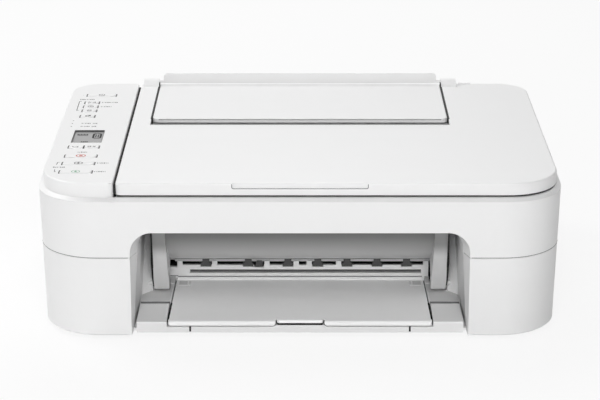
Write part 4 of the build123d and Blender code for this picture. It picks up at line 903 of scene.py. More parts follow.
@dataclass
class OperationPanel:
    """Marks, lamps and display of the operation panel; lengths in millimetres."""

    shop: Workshop
    plate_top: float = 135.5
    key_proud: float = 0.5
    flange: float = 0.45
    ink: float = 0.05
    sunk: float = 0.05
    bracket_width: float = 0.85
    bracket_hook: float = 0.9
    bracket_height: float = 8.0
    bracket_slant: float = 0.3
    bracket_gap: float = 0.75
    brace_width: float = 0.6
    brace: tuple[Point, ...] = ((-201.6, 91.6), (-203.6, 91.6), (-203.2, 61.7), (-201.4, 61.7))
    hooks: tuple[tuple[Point, ...], ...] = (
        ((-201.6, -94.2), (-203.2, -94.2), (-203.5, -100.6)),
        ((-201.6, -120.2), (-203.2, -120.2), (-203.5, -113.8)))
    icon_line: float = 0.55
    icon_spread: tuple[float, float, float] = (1.3, 1.1, 1.0)
    note_ring: float = 1.9
    start_ring: float = 2.6
    stop_ring: float = 2.9
    lamp_places: tuple[Point, ...] = ((-202.7, 28.6), (-202.8, 20.1), (-202.8, 11.1), (-202.0, 112.1))
    lamp_radius: float = 0.95
    lamp_shrink: float = 0.93
    lamp_stretch: float = 0.85
    lamp_sunk: float = 0.4
    lamp_rise: float = 0.6
    lamp_levels: int = 5
    lamp_corners: int = 16
    caption_lines: tuple[tuple[float, float, float], ...] = (
        (-204.0, -190.1, 98.2), (-182.9, -167.9, 88.1), (-182.8, -172.2, 74.2), (-194.8, -186.3, 20.5),
        (-185.0, -180.5, 20.5), (-194.8, -186.3, 11.1), (-185.0, -180.7, 11.1), (-189.8, -181.0, -65.7),
        (-170.4, -160.1, -96.3), (-205.7, -195.7, -107.6), (-170.5, -160.5, -119.6))
    mark_pitch: float = 1.5
    mark_share: float = 0.62
    mark_share_swing: float = 0.22
    mark_share_turn: float = 5.1
    mark_height: float = 2.0
    mark_height_swing: float = 0.4
    mark_height_turn: float = 3.3
    mark_round: float = 0.3
    surround_width: float = 0.45
    surround_depth: float = 0.6
    surround_outer_round: float = 0.8
    surround_inner_round: float = 0.5
    digit_middle: Point = (20.6, -13.6)
    digit_size: tuple[float, float, float] = (6.4, 13.0, 1.6)
    digit_width: float = 1.7
    segment_sunk: float = 0.03
    segment_proud: float = 0.04
    rows: tuple[StrokeRow, ...] = (
        StrokeRow(19.5, 2.2, 2, -17.6, -9.8, 0.9), StrokeRow(3.6, 1.35, 7, -11.4, -7.6, 0.95, notch=1.2),
        StrokeRow(8.6, 1.6, 4, -32.8, -29.8, 1.1))
    rules: tuple[tuple[Point, Point, float], ...] = (
        ((19.5, -13.7), (21.7, -13.7), 0.6), ((3.2, -12.2), (12.8, -12.2), 0.5))

    def build(self) -> None:
        """Makes the printed marks, the painted shade at the key ends, the key icons, the lamps and the
        display.
        """
        self._brackets()
        self._captions()
        self._icons()
        self._lamps()
        self._display()

    def _key(self, name: str) -> tuple[float, float, float]:
        """Centre X, centre Y and cap length of a key, from its CAD box."""
        low, high = millimetre_box(name)
        return (low[0] + high[0]) / 2, (low[1] + high[1]) / 2, high[0] - low[0] - 2 * self.flange

    def _plate_line(self, points: Path, width: float) -> Surface:
        """A flat line on the panel's plate, used for print and for painted shade."""
        return line_band(points, width, self.plate_top - self.sunk, self.plate_top + self.ink)

    def _bracket(self, x: float, y: float, side: int) -> Surface:
        """A square bracket: an upright line with a short line inwards at each end.

        Args:
            x: the upright's middle.
            y: the bracket's middle.
            side: 1 when the hooks point to the right, and -1 to the left.

        Returns:
            The bracket, a dark flat line on the plate: painted shade of the gap at a key's end.
        """
        half = self.bracket_height / 2
        knee = half - self.bracket_slant
        tip = x + side * self.bracket_hook
        return self._plate_line(((tip, y + half), (x, y + knee), (x, y - knee), (tip, y - half)),
                                self.bracket_width)

    def _brackets(self) -> None:
        """Dark brackets at each key's ends, painted shade of the gaps, and a dark brace and light hooks left
        of the key groups.
        """
        dark, light = Surface(), Surface()
        for key in KEY_NAMES:
            x, y, length = self._key(key)
            reach = length / 2 + self.bracket_gap
            dark += self._bracket(x - reach, y, 1) + self._bracket(x + reach, y, -1)
        dark += self._plate_line(self.brace, self.brace_width)
        for hook in self.hooks:
            light += self._plate_line(hook, self.brace_width)
        self.shop.piece("panel_brackets", dark, MARK_DARK, Body.HOUSING, Slot.KEYS)
        self.shop.piece("panel_hooks", light, MARK_GREY, Body.HOUSING, Slot.KEYS)

    def _captions(self) -> None:
        """Plain broken lines where the real panel has captions.

        A mark fills a share of its pitch that swings with the sine of its number times one turn, and its
        height swings with the cosine of its number times another.
        """
        marks = Surface()
        for start, end, y in self.caption_lines:
            count = max(2, round((end - start) / self.mark_pitch))
            pitch = (end - start) / count
            for index in range(count):
                share_phase = self.mark_share_turn * index + start
                share = self.mark_share + self.mark_share_swing * math.sin(share_phase)
                height = self.mark_height + self.mark_height_swing * math.cos(self.mark_height_turn * index)
                outline = rounded_outline(pitch * share, height, self.mark_round, 1)
                mark = plate(outline, self.plate_top - self.sunk, self.plate_top + self.ink)
                marks += mark.moved(start + (index + 0.5) * pitch, y)
        self.shop.piece("panel_captions", marks, MARK_GREY, Body.HOUSING, Slot.KEYS)

    def _stroke(self, points: Path, closed: bool = False, width: float = 0.0) -> Surface:
        """One printed line of an icon on a key's top; a width of zero stands for the icons' own."""
        top = self.plate_top + self.key_proud
        return line_band(points, width or self.icon_line, top - self.sunk, top + self.ink, closed)

    def _fill(self, outline: np.ndarray) -> Surface:
        """One printed area of an icon on a key's top."""
        top = self.plate_top + self.key_proud
        return plate(outline, top - self.sunk, top + self.ink)

    def _waves(self, radius: float, half_angle: float, steps: int) -> Surface:
        """Two printed arcs, one open to each side."""
        return (self._stroke(arc_path(radius, -half_angle, half_angle, steps))
                + self._stroke(arc_path(radius, 180 - half_angle, 180 + half_angle, steps)))

    def _icon_shapes(self) -> dict[str, tuple[Surface, Finish]]:
        """Draws each generic icon about the origin.

        Returns:
            The shape and the ink of each key's icon.
        """
        stroke, fill = self._stroke, self._fill
        page = np.array([(-1.1, -1.5), (1.1, -1.5), (1.1, 1.5), (-1.1, 1.5)])
        diamond = fill(np.array([(0, 1.7), (-1.0, 0), (0, -1.7), (1.0, 0)]))
        start_circle = circle_outline(self.start_ring, 22)
        power = stroke(arc_path(2.0, 120, 420, 18)) + stroke([(0, 0.4), (0, 2.5)])
        radio = fill(circle_outline(0.42, 10)) + self._waves(1.3, 50, 8) + self._waves(2.4, 45, 9)
        note = (stroke(circle_outline(self.note_ring, 20), True) + stroke([(0, -1.0), (0, 0.4)])
                + fill(circle_outline(0.3, 8)).moved(0, 1.0))
        phone = stroke(rounded_outline(2.2, 3.6, 0.5, 2), True) + stroke([(-0.5, -1.1), (0.5, -1.1)])
        sheets = stroke(page, True) + stroke([(-0.2, 2.1), (1.9, 2.1), (1.9, -0.8)])
        arrow = (stroke([(-2.2, 1.0), (-2.2, -0.9), (1.4, -0.9)])
                 + stroke([(0.6, -1.8), (1.6, -0.9), (0.6, 0)]))
        fit = (stroke(page * 0.8, True).moved(-1.4, 0) + stroke([(1.0, -1.4), (2.6, 1.4)])
               + stroke([(1.0, 1.4), (2.6, -1.4)]))
        stop = stroke(circle_outline(self.stop_ring, 24), True, 0.7) + fill(rounded_outline(2.2, 2.2, 0.3, 2))
        return {
            "button_power": (power, MARK_DARK), "button_wireless": (radio, MARK_GREY),
            "button_information": (note, MARK_GREY), "button_direct": (phone, MARK_DARK),
            "button_paper": (sheets, MARK_DARK), "button_copies": (arrow, MARK_GREY),
            "button_fit": (fit, MARK_GREY), "button_stop": (stop, STOP_RED),
            "button_black_start": (stroke(start_circle, True) + diamond, MARK_DARK),
            "button_color_start": (stroke(start_circle, True, 0.5) + diamond, START_GREEN),
        }

    def _icons(self) -> None:
        """Prints each icon on its key, drawn out a little wider than high, and lets it ride on the key."""
        for key, (shape, finish) in self._icon_shapes().items():
            x, y, _ = self._key(key)
            spread = Surface(shape.points * np.array(self.icon_spread), shape.faces)
            self.shop.piece("icon_" + key.removeprefix("button_"), spread.moved(x, y), finish, key, Slot.KEYS)

    def _lamps(self) -> None:
        """Small lamp windows, a little domed: circles that shrink as they rise. The last one is white."""
        share = np.linspace(0, 1, self.lamp_levels)
        radius = self.lamp_radius * np.sqrt(1 - self.lamp_shrink * share ** 2)
        height = self.plate_top - self.lamp_sunk + self.lamp_rise * share
        dome = stacked(np.stack([at_height(circle_outline(r, self.lamp_corners, self.lamp_stretch), z)
                                 for r, z in zip(radius, height)]))
        for index, (x, y) in enumerate(self.lamp_places, 1):
            finish = LAMP_DARK if index < len(self.lamp_places) else LAMP_WHITE
            self.shop.piece(f"panel_lamp_{index}", dome.moved(x, y), finish, Body.HOUSING, Slot.DISPLAY)

    def _display(self) -> None:
        """The display's dark surround and the segments on its grey crystal."""
        low, high = millimetre_box("lcd_display")
        wide, deep, face = high[0] - low[0], high[1] - low[1], high[2]
        edges = 2 * self.surround_width
        outer = rounded_outline(wide, deep, self.surround_outer_round, 3)
        inner = rounded_outline(wide - edges, deep - edges, self.surround_inner_round, 3)
        base, top = face - self.surround_depth, self.plate_top - self.sunk
        ring = np.stack([at_height(outer, base), at_height(outer, top), at_height(inner, top),
                         at_height(inner, base), at_height(outer, base)])
        surround = stacked(ring, caps=False).moved((low[0] + high[0]) / 2, (low[1] + high[1]) / 2)
        self.shop.piece("display_surround", surround, LCD_BLACK, Body.HOUSING, Slot.DISPLAY)
        segments = self._segments(face).moved(low[0], high[1])
        self.shop.piece("display_segments", segments, SEGMENT_INK, Body.HOUSING, Slot.DISPLAY)

    def _segments(self, face: float) -> Surface:
        """The display's segments, given from its rear left corner.

        Args:
            face: the height of the crystal's face.

        Returns:
            A large digit with its bars, a word and a number as rows of strokes, and two rules.
        """
        def line(points: Path, width: float, closed: bool = False) -> Surface:
            """One dark segment line."""
            return line_band(points, width, face - self.segment_sunk, face + self.segment_proud, closed)

        digit = rounded_outline(*self.digit_size, 3) + np.array(self.digit_middle)
        marks = line(digit, self.digit_width, True)
        for row in self.rows:
            for index in range(row.count):
                x = row.start + index * row.pitch
                marks += line(((x, row.low), (x, row.high - row.notch * (index % 2))), row.width)
        for start, end, width in self.rules:
            marks += line((start, end), width)
        return marks


@dataclass
class TopJoints:
    """Painted shade in the joints of the top cover, the paper support and the operation panel, and a shoulder
    bead; in millimetres.
    """

    shop: Workshop
    joint_gaps: Span = (0.15, 0.2)
    joint_y: Span = (-147.5, 148.5)
    joint_z: Span = (125.4, 133.2)
    frame_front: float = -149.4
    frame_left: float = -149.0
    frame_right: float = 212.0
    frame_rear: float = 138.0
    frame_radius: float = 41.0
    frame_shade_proud: float = 0.1
    frame_shade_width: float = 0.5
    frame_shade_z: Span = (123.6, 125.15)
    shoulder_corner: Point = (170.0, -110.5)
    shoulder_section: tuple[Point, ...] = ((47.2, 121.75), (42.7, 123.8), (42.7, 122.2))
    shoulder_points: int = 13
    seam_corner: Point = (166.34, -107.59)
    seam_radius: float = 49.85
    seam_front_x: float = 140.6
    seam_rear: float = 127.0
    seam_z: float = 73.3
    seam_half: float = 0.32
    recess_floor: Bar = Bar((-133.2, 133.2), (28.9, 35.7), (129.6, 129.95), 0.4, 0.05, 3)
    recess_side: Bar = Bar((132.67, 134.17), (34.0, 142.0), (130.0, 135.6), 0.2)
    recess_rim_shade: Bar = Bar((-133.4, 133.4), (15.7, 17.2), (134.6, 135.56), 0.4, 0.1, 3)
    support_edge_shade: Bar = Bar((-127.0, 127.0), (35.75, 36.15), (134.1, 134.8), 0.1, 0.05)
    lug_side: Bar = Bar((132.66, 133.38), (143.0, 149.4), (132.5, 138.4), 0.3, 0.3)
    grip_half: float = 55.6
    grip_round: float = 1.4
    grip_z: Span = (130.9, 134.6)
    grip_proud: float = 0.12
    grip_shade_bead: float = 0.28

    def build(self) -> None:
        """Makes the painted shade beside the panel, round the housing, round the support and round the grip,
        and the shoulder bead.
        """
        self._panel_joint()
        self._cover_line()
        self._shoulder_bead()
        self._seam_lines()
        self._support_recess_shades()
        self._grip_line()

    def _panel_joint(self) -> None:
        """A dark strip in the gap between the operation panel and the top cover: painted shade of the gap."""
        left = millimetre_box("control_panel")[1][0] + self.joint_gaps[0]
        right = millimetre_box("document_cover")[0][0] - self.joint_gaps[1]
        strip = Bar((left, right), self.joint_y, self.joint_z, radius=0.3, bevel=0.2)
        self.shop.piece("panel_joint_shade", strip.surface(), JOINT_SHADE_DARK, Body.HOUSING, Slot.BLACK)

    def _cover_line(self) -> None:
        """A dark strip round the scanner frame, just under the rim of the top cover: painted shade of the
        cover's rim.

        It runs along the front at an even Y, round a quarter circle, and back along the right side.
        """
        centre = np.array([self.frame_right - self.frame_radius, self.frame_front + self.frame_radius])
        corner = centre + arc_path(self.frame_radius + self.frame_shade_proud, -90, 0, steps=16)
        start = (self.frame_left, self.frame_front - self.frame_shade_proud)
        end = (self.frame_right + self.frame_shade_proud, self.frame_rear)
        frame_shade = line_band(np.concatenate([[start], corner, [end]]), self.frame_shade_width, *self.frame_shade_z)
        self.shop.piece("frame_shade_line", frame_shade, EDGE_SHADE_GREY, Body.HOUSING, Slot.INNER)

    def _shoulder_bead(self) -> None:
        """A sloping bead round the housing's front shoulder, which catches the light below the top cover.

        Its section is a triangle, given by distances from the corner's centre and heights. The centres lie at
        both corners, and the outward directions run from -X to -Y round the left one and on to +X.
        """
        count = self.shoulder_points
        left_turn = arc_path(1.0, 180, 270, count)
        directions = np.concatenate([left_turn, left_turn[::-1] * np.array([-1.0, 1.0])])
        x, y = self.shoulder_corner
        centres = np.repeat([[-x, y], [x, y]], count, axis=0)
        rings = np.stack([at_height(centres + directions * reach, height)
                          for reach, height in self.shoulder_section], axis=1)
        self.shop.piece("shoulder_bead", stacked(rings), WHITE_SHELL, Body.HOUSING, Slot.SHELL)

    def _seam_lines(self) -> None:
        """A fine grey line in the seam between both housings, painted shade of the gap, from the rear round
        the front corner to the arch.
        """
        turn = arc_path(self.seam_radius, 0, -90, steps=12) + np.array(self.seam_corner)
        outline = np.concatenate([[(turn[0, 0], self.seam_rear)], turn, [(self.seam_front_x, turn[-1, 1])]])
        line = tube(at_height(outline, self.seam_z), self.seam_half)
        self.shop.pair("seam_shade_line", line, SEAM_SHADE_GREY, Body.HOUSING, Slot.SHELL)

    def _support_recess_shades(self) -> None:
        """Painted shade of the paper support's recess: dark strips on its floor, sides, rim and lugs, and a
        line along the support's front edge.
        """
        shop, cover = self.shop, Body.TOP_COVER
        shop.piece("recess_floor_shade", self.recess_floor.surface(), EDGE_SHADE_GREY, cover, Slot.INNER)
        shop.pair("recess_side_shade", self.recess_side.surface(), RECESS_SIDE_SHADE, cover, Slot.INNER)
        shop.piece("recess_rim_shade", self.recess_rim_shade.surface(), RIM_SHADE_GREY, cover, Slot.SHELL)
        shop.piece("support_edge_shade", self.support_edge_shade.surface(), RIM_SHADE_GREY, Body.PAPER_SUPPORT, Slot.SHELL)
        shop.pair("lug_side_shade", self.lug_side.surface(), RECESS_SIDE_SHADE, cover, Slot.INNER)

    def _grip_line(self) -> None:
        """A fine grey bead round the finger grip on the cover's front, painted shade of the grip's edge:
        down, round a quarter circle, and along.
        """
        low, high = self.grip_z
        corner = arc_path(self.grip_round, 180, 270, steps=6)
        left = np.concatenate([[(-self.grip_half, high)],
                               corner + np.array([self.grip_round - self.grip_half, low + self.grip_round])])
        outline = np.concatenate([left, left[::-1] * np.array([-1.0, 1.0])])
        front = millimetre_box("document_cover")[0][1] + self.grip_proud
        path = at_height(outline, front)[:, [0, 2, 1]]
        self.shop.piece("grip_shade_bead", tube(path, self.grip_shade_bead), GRIP_SHADE_GREY, Body.TOP_COVER, Slot.SHELL)


@dataclass
class OutputBay:
    """Small fittings of the output bay and the tray, and painted shade in their gaps; lengths in millimetres.
    """

    shop: Workshop
    catch_bar: Bar = Bar((97.1, 106.1), (-65.3, -63.9), (13.8, 14.35), 0.6, 0.15, 3)
    catch_stop: Bar = Bar((95.1, 96.9), (-65.15, -56.65), (13.8, 14.8), 0.8, 0.3, 3)
    catch_pocket: Bar = Bar((98.2, 105.4), (-63.7, -54.7), (13.8, 14.05), 0.3, 0.0)
    side_gap: tuple[Point, ...] = ((110.0, 2.5), (109.2, -107.0), (108.1, -54.0))
    side_gap_widths: Span = (1.3, 0.7)
    side_gap_tops: Span = (14.06, 14.04)
    side_gap_base: float = 12.3
    tab_shade: Bar = Bar((-18.9, 18.9), (0.06, 1.2), (11.12, 12.88), 0.3, 0.0)
    front_slot: Bar = Bar((90.75, 92.25), (0.25, 1.2), (5.25, 9.45), 0.1, 0.0)
    pivot: Point = (-79.0, 22.0)
    collar_steps: tuple[Point, ...] = ((126.0, 2.3), (126.0, 3.4), (126.9, 3.4), (127.0, 2.3))
    shelf_front: Bar = Bar((110.8, 136.0), (-103.9, -103.45), (11.2, 13.9))
    shelf_shade_mat: Bar = Bar((110.9, 135.6), (-103.3, -79.0), (13.8, 14.06), 0.2, 0.03)
    beam_slot: Bar = Bar((-97.2, 106.9), (-46.55, -46.2), (19.0, 23.4))
    beam_foot: Bar = Bar((-106.8, 107.0), (-49.72, -49.55), (16.0, 16.75), 0.05, 0.05)
    beam_heel: Bar = Bar((-113.6, -106.8), (-49.72, -49.55), (16.9, 17.45), 0.05, 0.05)
    rail_top: Bar = Bar((-109.3, 113.1), (-47.2, -46.0), (31.8, 32.15))
    deflector_half: float = 112.4
    deflector_edge: Point = (-60.1, 37.45)
    deflector_bead: float = 0.42
    arm_face: float = -84.6
    arm_slope: float = -0.7826
    slit_shade_setback: float = 0.8
    slit_shade_depth: float = 1.6
    slit_shade_levels: tuple[float, ...] = (19.0, 28.0, 50.0, 72.0, 90.5)
    slit_shade_inner: tuple[float, ...] = (125.2, 125.2, 124.4, 123.6, 122.8)
    slit_shade_widths: tuple[float, ...] = (1.4, 1.7, 2.1, 1.2, 0.9)

    def build(self) -> None:
        """Makes the fittings and the painted shade of the tray, the beam and the output cover."""
        self._tray_hooks()
        self._tray_joints()
        self._pivot_collars()
        self._shadow_gaps()
        self._deflector_edges()
        self._rail_top_shade()

    def _tray_hooks(self) -> None:
        """Low raised catches near the rear corners of the upper tray panel, beside shallow pockets."""
        raised = (self.catch_bar.surface() + self.catch_stop.surface()).both_sides()
        pockets = self.catch_pocket.surface().both_sides()
        self.shop.piece("tray_catches", raised, BEAD_GREY, Body.TRAY_EXTENSION, Slot.TRAY)
        self.shop.piece("tray_pockets", pockets, POCKET_GREY, Body.TRAY_EXTENSION, Slot.TRAY)

    def _tray_joints(self) -> None:
        """Dark lines of painted shade along the tray panel's sides, under its finger tab and in the tray's
        front slots.

        The side line's start, the tab's shade and the slots are set back from the panel's front edge.
        """
        front = millimetre_box("tray_extension")[0][1]
        (start_x, setback), knee, end = self.side_gap
        runs = (((start_x, front + setback), knee), (knee, end))
        side, rear = (line_band(run, width, self.side_gap_base, top).both_sides()
                      for run, width, top in zip(runs, self.side_gap_widths, self.side_gap_tops))
        tab = self.tab_shade.surface().moved(0, front)
        slots = self.front_slot.surface().moved(0, front).both_sides()
        self.shop.piece("panel_side_shade", side, GAP_SHADE_BLACK, Body.TRAY_EXTENSION, Slot.TRAY)
        self.shop.piece("panel_rear_shade", rear, SLOT_SHADE_GREY, Body.TRAY_EXTENSION, Slot.TRAY)
        self.shop.piece("tab_shade", tab, GAP_SHADE_BLACK, Body.TRAY_EXTENSION, Slot.TRAY)
        self.shop.piece("front_slot_shade", slots, GAP_SHADE_BLACK, Body.OUTPUT_TRAY, Slot.TRAY)

    def _pivot_collars(self) -> None:
        """A turned collar beside each pivot of the output cover: circles about the axis, stepped outwards."""
        rings = np.stack([at_height(circle_outline(radius), x)[:, [2, 0, 1]]
                          for x, radius in self.collar_steps])
        collar = stacked(np.concatenate([rings, rings[:1]]), caps=False).moved(0, *self.pivot)
        self.shop.pair("pivot_collar", collar, BEAM_GREY, Body.OUTPUT_COVER, Slot.BAY)

    def _shadow_gaps(self) -> None:
        """Painted shade: dark strips behind the tray wings, a greyer mat on the shelf behind them, and strips
        behind the beam's slot and at its foot.
        """
        shade_mats = self.shelf_shade_mat.surface().both_sides()
        foot = self.beam_foot.surface() + self.beam_heel.surface()
        self.shop.pair("shelf_front_shade", self.shelf_front.surface(), SHELF_JOINT_SHADE, Body.HOUSING, Slot.BAY)
        self.shop.piece("shelf_shade_mats", shade_mats, SHELF_SHADE_GREY, Body.HOUSING, Slot.BAY)
        self.shop.piece("beam_slot_shade", self.beam_slot.surface(), SLOT_SHADE_GREY, Body.HOUSING, Slot.BAY)
        self.shop.piece("beam_foot_shade", foot, SLOT_SHADE_GREY, Body.HOUSING, Slot.BAY)

    def _deflector_edges(self) -> None:
        """A bead on the deflector's lower edge, its light grey partly a painted highlight, and painted shade
        by each arm.

        The shade strip lies a little behind the arm's front plane, whose Y is the face's at the pivot's
        height and changes with the height above the pivot by the slope.
        """
        half = self.deflector_half
        edge = np.linspace((-half, *self.deflector_edge), (half, *self.deflector_edge), 3)
        bead = tube(edge, self.deflector_bead)
        # The bead's grey is lighter than the deflector's: partly a painted highlight on its rounded edge.
        self.shop.piece("deflector_bead", bead, BEAD_GREY, Body.OUTPUT_COVER, Slot.COVER)
        height = np.array(self.slit_shade_levels)
        front = self.arm_face + self.arm_slope * (height - self.pivot[1]) + self.slit_shade_setback
        back = front + self.slit_shade_depth
        inner = np.array(self.slit_shade_inner)
        outer = inner + np.array(self.slit_shade_widths)
        corners = ((inner, front), (outer, front), (outer, back), (inner, back))
        slit_shade = stacked(np.stack([np.column_stack([x, y, height]) for x, y in corners], axis=1))
        self.shop.pair("arm_slit_shade", slit_shade, ARM_SLIT_SHADE, Body.OUTPUT_COVER, Slot.COVER)

    def _rail_top_shade(self) -> None:
        """A dark strip on top of the star wheel rail, behind its front edge: painted shade under the
        deflector.
        """
        self.shop.piece("rail_top_shade", self.rail_top.surface(), SOFT_BLACK, Body.HOUSING, Slot.BLACK)


@dataclass
class ScrewSet:
    """Cross-recessed pan-head screws of the rear and the underside; lengths in millimetres."""

    shop: Workshop
    head_radius: float = 2.9
    head_height: float = 1.5
    head_levels: int = 6
    dome_share: float = 0.72
    rim_share: float = 0.25
    recess_half: float = 1.5
    recess_width: float = 0.55
    recess_levels: Span = (-0.02, 0.03)
    rear_head_base: float = 156.42
    floor_head_base: float = 4.6
    rear_places: tuple[Point, ...] = ((-122.0, 58.0), (122.0, 58.0), (-152.0, 96.0), (152.0, 96.0))
    base_places: tuple[Point, ...] = (
        (-150.0, -60.0), (150.0, -60.0), (-120.0, 128.0), (120.0, 128.0), (0.0, 40.0))

    def _head(self) -> Surface:
        """A domed head with a cross: circles whose radius falls as the square root of the height left.

        Returns:
            The head with its flat side down at the origin.
        """
        share = np.linspace(0, 1, self.head_levels)
        radius = self.head_radius * np.sqrt(1 - self.dome_share * share ** 2)
        height = self.head_height * (self.rim_share + (1 - self.rim_share) * share)
        rings = [at_height(circle_outline(self.head_radius), 0.0)]
        rings += [at_height(circle_outline(r), z) for r, z in zip(radius, height)]
        head = stacked(np.stack(rings))
        low, high = (self.head_height + level for level in self.recess_levels)
        for angle in (0, 90):
            arm = arc_path(self.recess_half, angle, angle + 180, 2)
            head += line_band(arm, self.recess_width, low, high)
        return head

    def build(self) -> None:
        """Puts screws in the rear wall and in the floor."""
        rear, base = Surface(), Surface()
        rear_head, base_head = self._head().turned_x(-90), self._head().turned_x(180)
        for x, z in self.rear_places:
            rear += rear_head.moved(x, self.rear_head_base, z)
        for x, y in self.base_places:
            base += base_head.moved(x, y, self.floor_head_base)
        self.shop.piece("rear_screws", rear, SCREW_STEEL, Body.HOUSING, Slot.STEEL)
        self.shop.piece("base_screws", base, SCREW_STEEL, Body.HOUSING, Slot.STEEL)


@dataclass
class PrintUnit:
    """Cable, encoder strip and cartridge bands of the print unit; lengths in millimetres."""

    shop: Workshop
    strip: Bar = Bar((-200.0, 206.0), (34.52, 34.68), (74.0, 82.0), 0.0, 0.0, 0)
    cable_run: tuple[Point, ...] = ((34.3, 86.0), (33.9, 88.5), (32.5, 91.5), (33.6, 93.4))
    cable_middle: float = 30.0
    cable_width: float = 260.0
    cable_thickness: float = 0.35
    band_inset: float = 4.0
    band_y: Span = (3.0, 7.0)
    band_z: Span = (68.9, 69.25)

    def build(self) -> None:
        """Makes the encoder strip, the carriage's ribbon cable and the cartridge bands."""
        self._encoder_strip()
        self._cable()
        self._cartridge_bands()

    def _encoder_strip(self) -> None:
        """A thin upright strip that tells the carriage where it is."""
        self.shop.piece("encoder_strip", self.strip.surface(), STRIP_SMOKE, Body.HOUSING, Slot.STEEL)

    def _cable(self) -> None:
        """The flat cable along the rail's front, from the board's side to the middle of the travel."""
        run = smooth_path([(self.cable_middle, y, z) for y, z in self.cable_run])
        cable = ribbon(run, self.cable_width, self.cable_thickness)
        self.shop.piece("carriage_cable", cable, CABLE_WHITE, Body.HOUSING, Slot.INNER)

    def _cartridge_bands(self) -> None:
        """A plain coloured band on the grip edge of each cartridge flap."""
        for color, finish in (("black", MARK_DARK), ("color", BAND_BLUE)):
            flap = f"lock_cover_{color}"
            low, high = millimetre_box(flap)
            band_x = (low[0] + self.band_inset, high[0] - self.band_inset)
            band = Bar(band_x, self.band_y, self.band_z, radius=1.2, bevel=0.0, steps=3)
            self.shop.piece(f"band_{color}", band.surface().moved(0, low[1]), finish, flap, Slot.BLACK)


@dataclass
class Scanner:
    """Belt, cable and calibration strip of the scanner; lengths in millimetres."""

    shop: Workshop
    belt_ends: Span = (-138.0, 200.0)
    belt_radius: float = 3.2
    belt_thickness: float = 0.9
    belt_half: float = 2.0
    belt_y: float = -44.0
    belt_z: float = 106.2
    cable_y: float = 20.0
    cable_run: tuple[Point, ...] = (
        (-112.0, 103.4), (-60.0, 103.0), (0.0, 102.9), (70.0, 102.9), (150.0, 103.0))
    cable_width: float = 12.0
    cable_thickness: float = 0.3
    white_strip: Bar = Bar((-139.7, -134.7), (-138.5, 77.5), (122.2, 122.55), 0.8, 0.0)
    lens: Bar = Bar((-125.5, -124.1), (-128.5, 67.5), (122.0, 122.3), 0.6, 0.0, 3)
    lamp: Bar = Bar((-122.6, -120.6), (-128.5, 67.5), (122.0, 122.35), 0.9, 0.0, 3)

    def build(self) -> None:
        """Makes the belt, the flat cable, the white strip under the glass and the sensor's lens and lamp."""
        self._belt()
        self._cable()
        self._strips()

    def _belt(self) -> None:
        """A flat loop along X, standing on edge: two straight runs joined by half circles."""
        left_x, right_x = self.belt_ends
        right = arc_path(self.belt_radius, -90, 90, steps=10) + np.array([right_x, 0])
        left = arc_path(self.belt_radius, 90, 270, steps=10) + np.array([left_x, 0])
        loop = np.concatenate([right, left])
        band = line_band(loop, self.belt_thickness, -self.belt_half, self.belt_half, closed=True)
        belt = band.swapped(0, 2, 1).moved(0, self.belt_y, self.belt_z)
        self.shop.piece("scanner_belt", belt, SOFT_BLACK, Body.HOUSING, Slot.BLACK)

    def _cable(self) -> None:
        """The sensor's flat cable along the tray's floor: a ribbon made along Y and laid along X."""
        run = smooth_path([(self.cable_y, x, z) for x, z in self.cable_run])
        cable = ribbon(run, self.cable_width, self.cable_thickness).swapped(1, 0, 2)
        self.shop.piece("sensor_cable", cable, CABLE_WHITE, Body.HOUSING, Slot.INNER)

    def _strips(self) -> None:
        """The white reference strip beside the glass, and the lens row and lamp on top of the sensor bar."""
        self.shop.piece("reference_strip", self.white_strip.surface(), PAD_WHITE, Body.HOUSING, Slot.SHELL)
        self.shop.piece("sensor_lens", self.lens.surface(), LCD_BLACK, Body.SCAN_HEAD, Slot.BLACK)
        self.shop.piece("sensor_lamp", self.lamp.surface(), LAMP_WHITE, Body.SCAN_HEAD, Slot.BLACK)


@dataclass
class Wardrobe:
    """Gives every carried-over CAD node its finish."""

    shop: Workshop
    nodes: dict[str, bpy.types.Object]
    finishes: tuple[tuple[Finish, tuple[str, ...]], ...] = (
        (WHITE_SHELL, ("upper_housing", "lower_housing", "document_cover", "paper_support", "rear_cover")),
        (PANEL_WHITE, ("control_panel",)),
        (KEY_WHITE, KEY_NAMES),
        (LCD_GREY, ("lcd_display",)),
        (BAY_GREY_PAINTED_SHADE, ("bay_side_left", "bay_side_right")),
        (COVER_GREY_PAINTED_SHADE, ("output_cover",)),
        (LIP_GREY, ("output_tray",)),
        (TRAY_GREY_PAINTED_LIGHT, ("tray_extension",)),
        (BEAM_GREY, ("exit_guide",)),
        (FRAME_GREY, ("scanner_frame", "rear_hopper", "star_wheel_rail")),
        (HOLDER_DARK, ("star_wheel_holders",)),
        (PAD_WHITE, ("cover_inner_plate", "cover_pad")),
        (PLATEN_GLASS, ("platen_glass",)),
        (INNER_BLACK, ("scanner_tray", "scan_head", "print_base", "maintenance_unit", "carriage",
                       "ink_cartridge_black", "ink_cartridge_color", "power_supply", "power_inlet",
                       "usb_port")),
        (GUIDE_GREY, ("lock_cover_black", "lock_cover_color", "paper_guide_left", "paper_guide_right")),
        (SOFT_BLACK, ("feed_roller", "exit_roller", "pickup_roller", "carriage_belt")),
        (FOOT_RUBBER, ("rubber_feet",)),
        (GEAR_WHITE, ("idler_gear", "motor_pinion")),
        (STEEL, ("scan_guide_rod", "carriage_rail", "carriage_guide_rod", "hinge_pins", "star_wheels")),
        (MOTOR_CAN, ("feed_motor", "carriage_motor")),
        (BOARD_GREEN, ("panel_board", "logic_board")),
    )

    def dress(self) -> None:
        """Puts each finish's material in every slot of the nodes that wear it."""
        for finish, names in self.finishes:
            for name in names:
                for place in self.nodes[name].material_slots:
                    place.material = self.shop.material(finish)
                log.info("dressed %s in %s", name, finish.name)


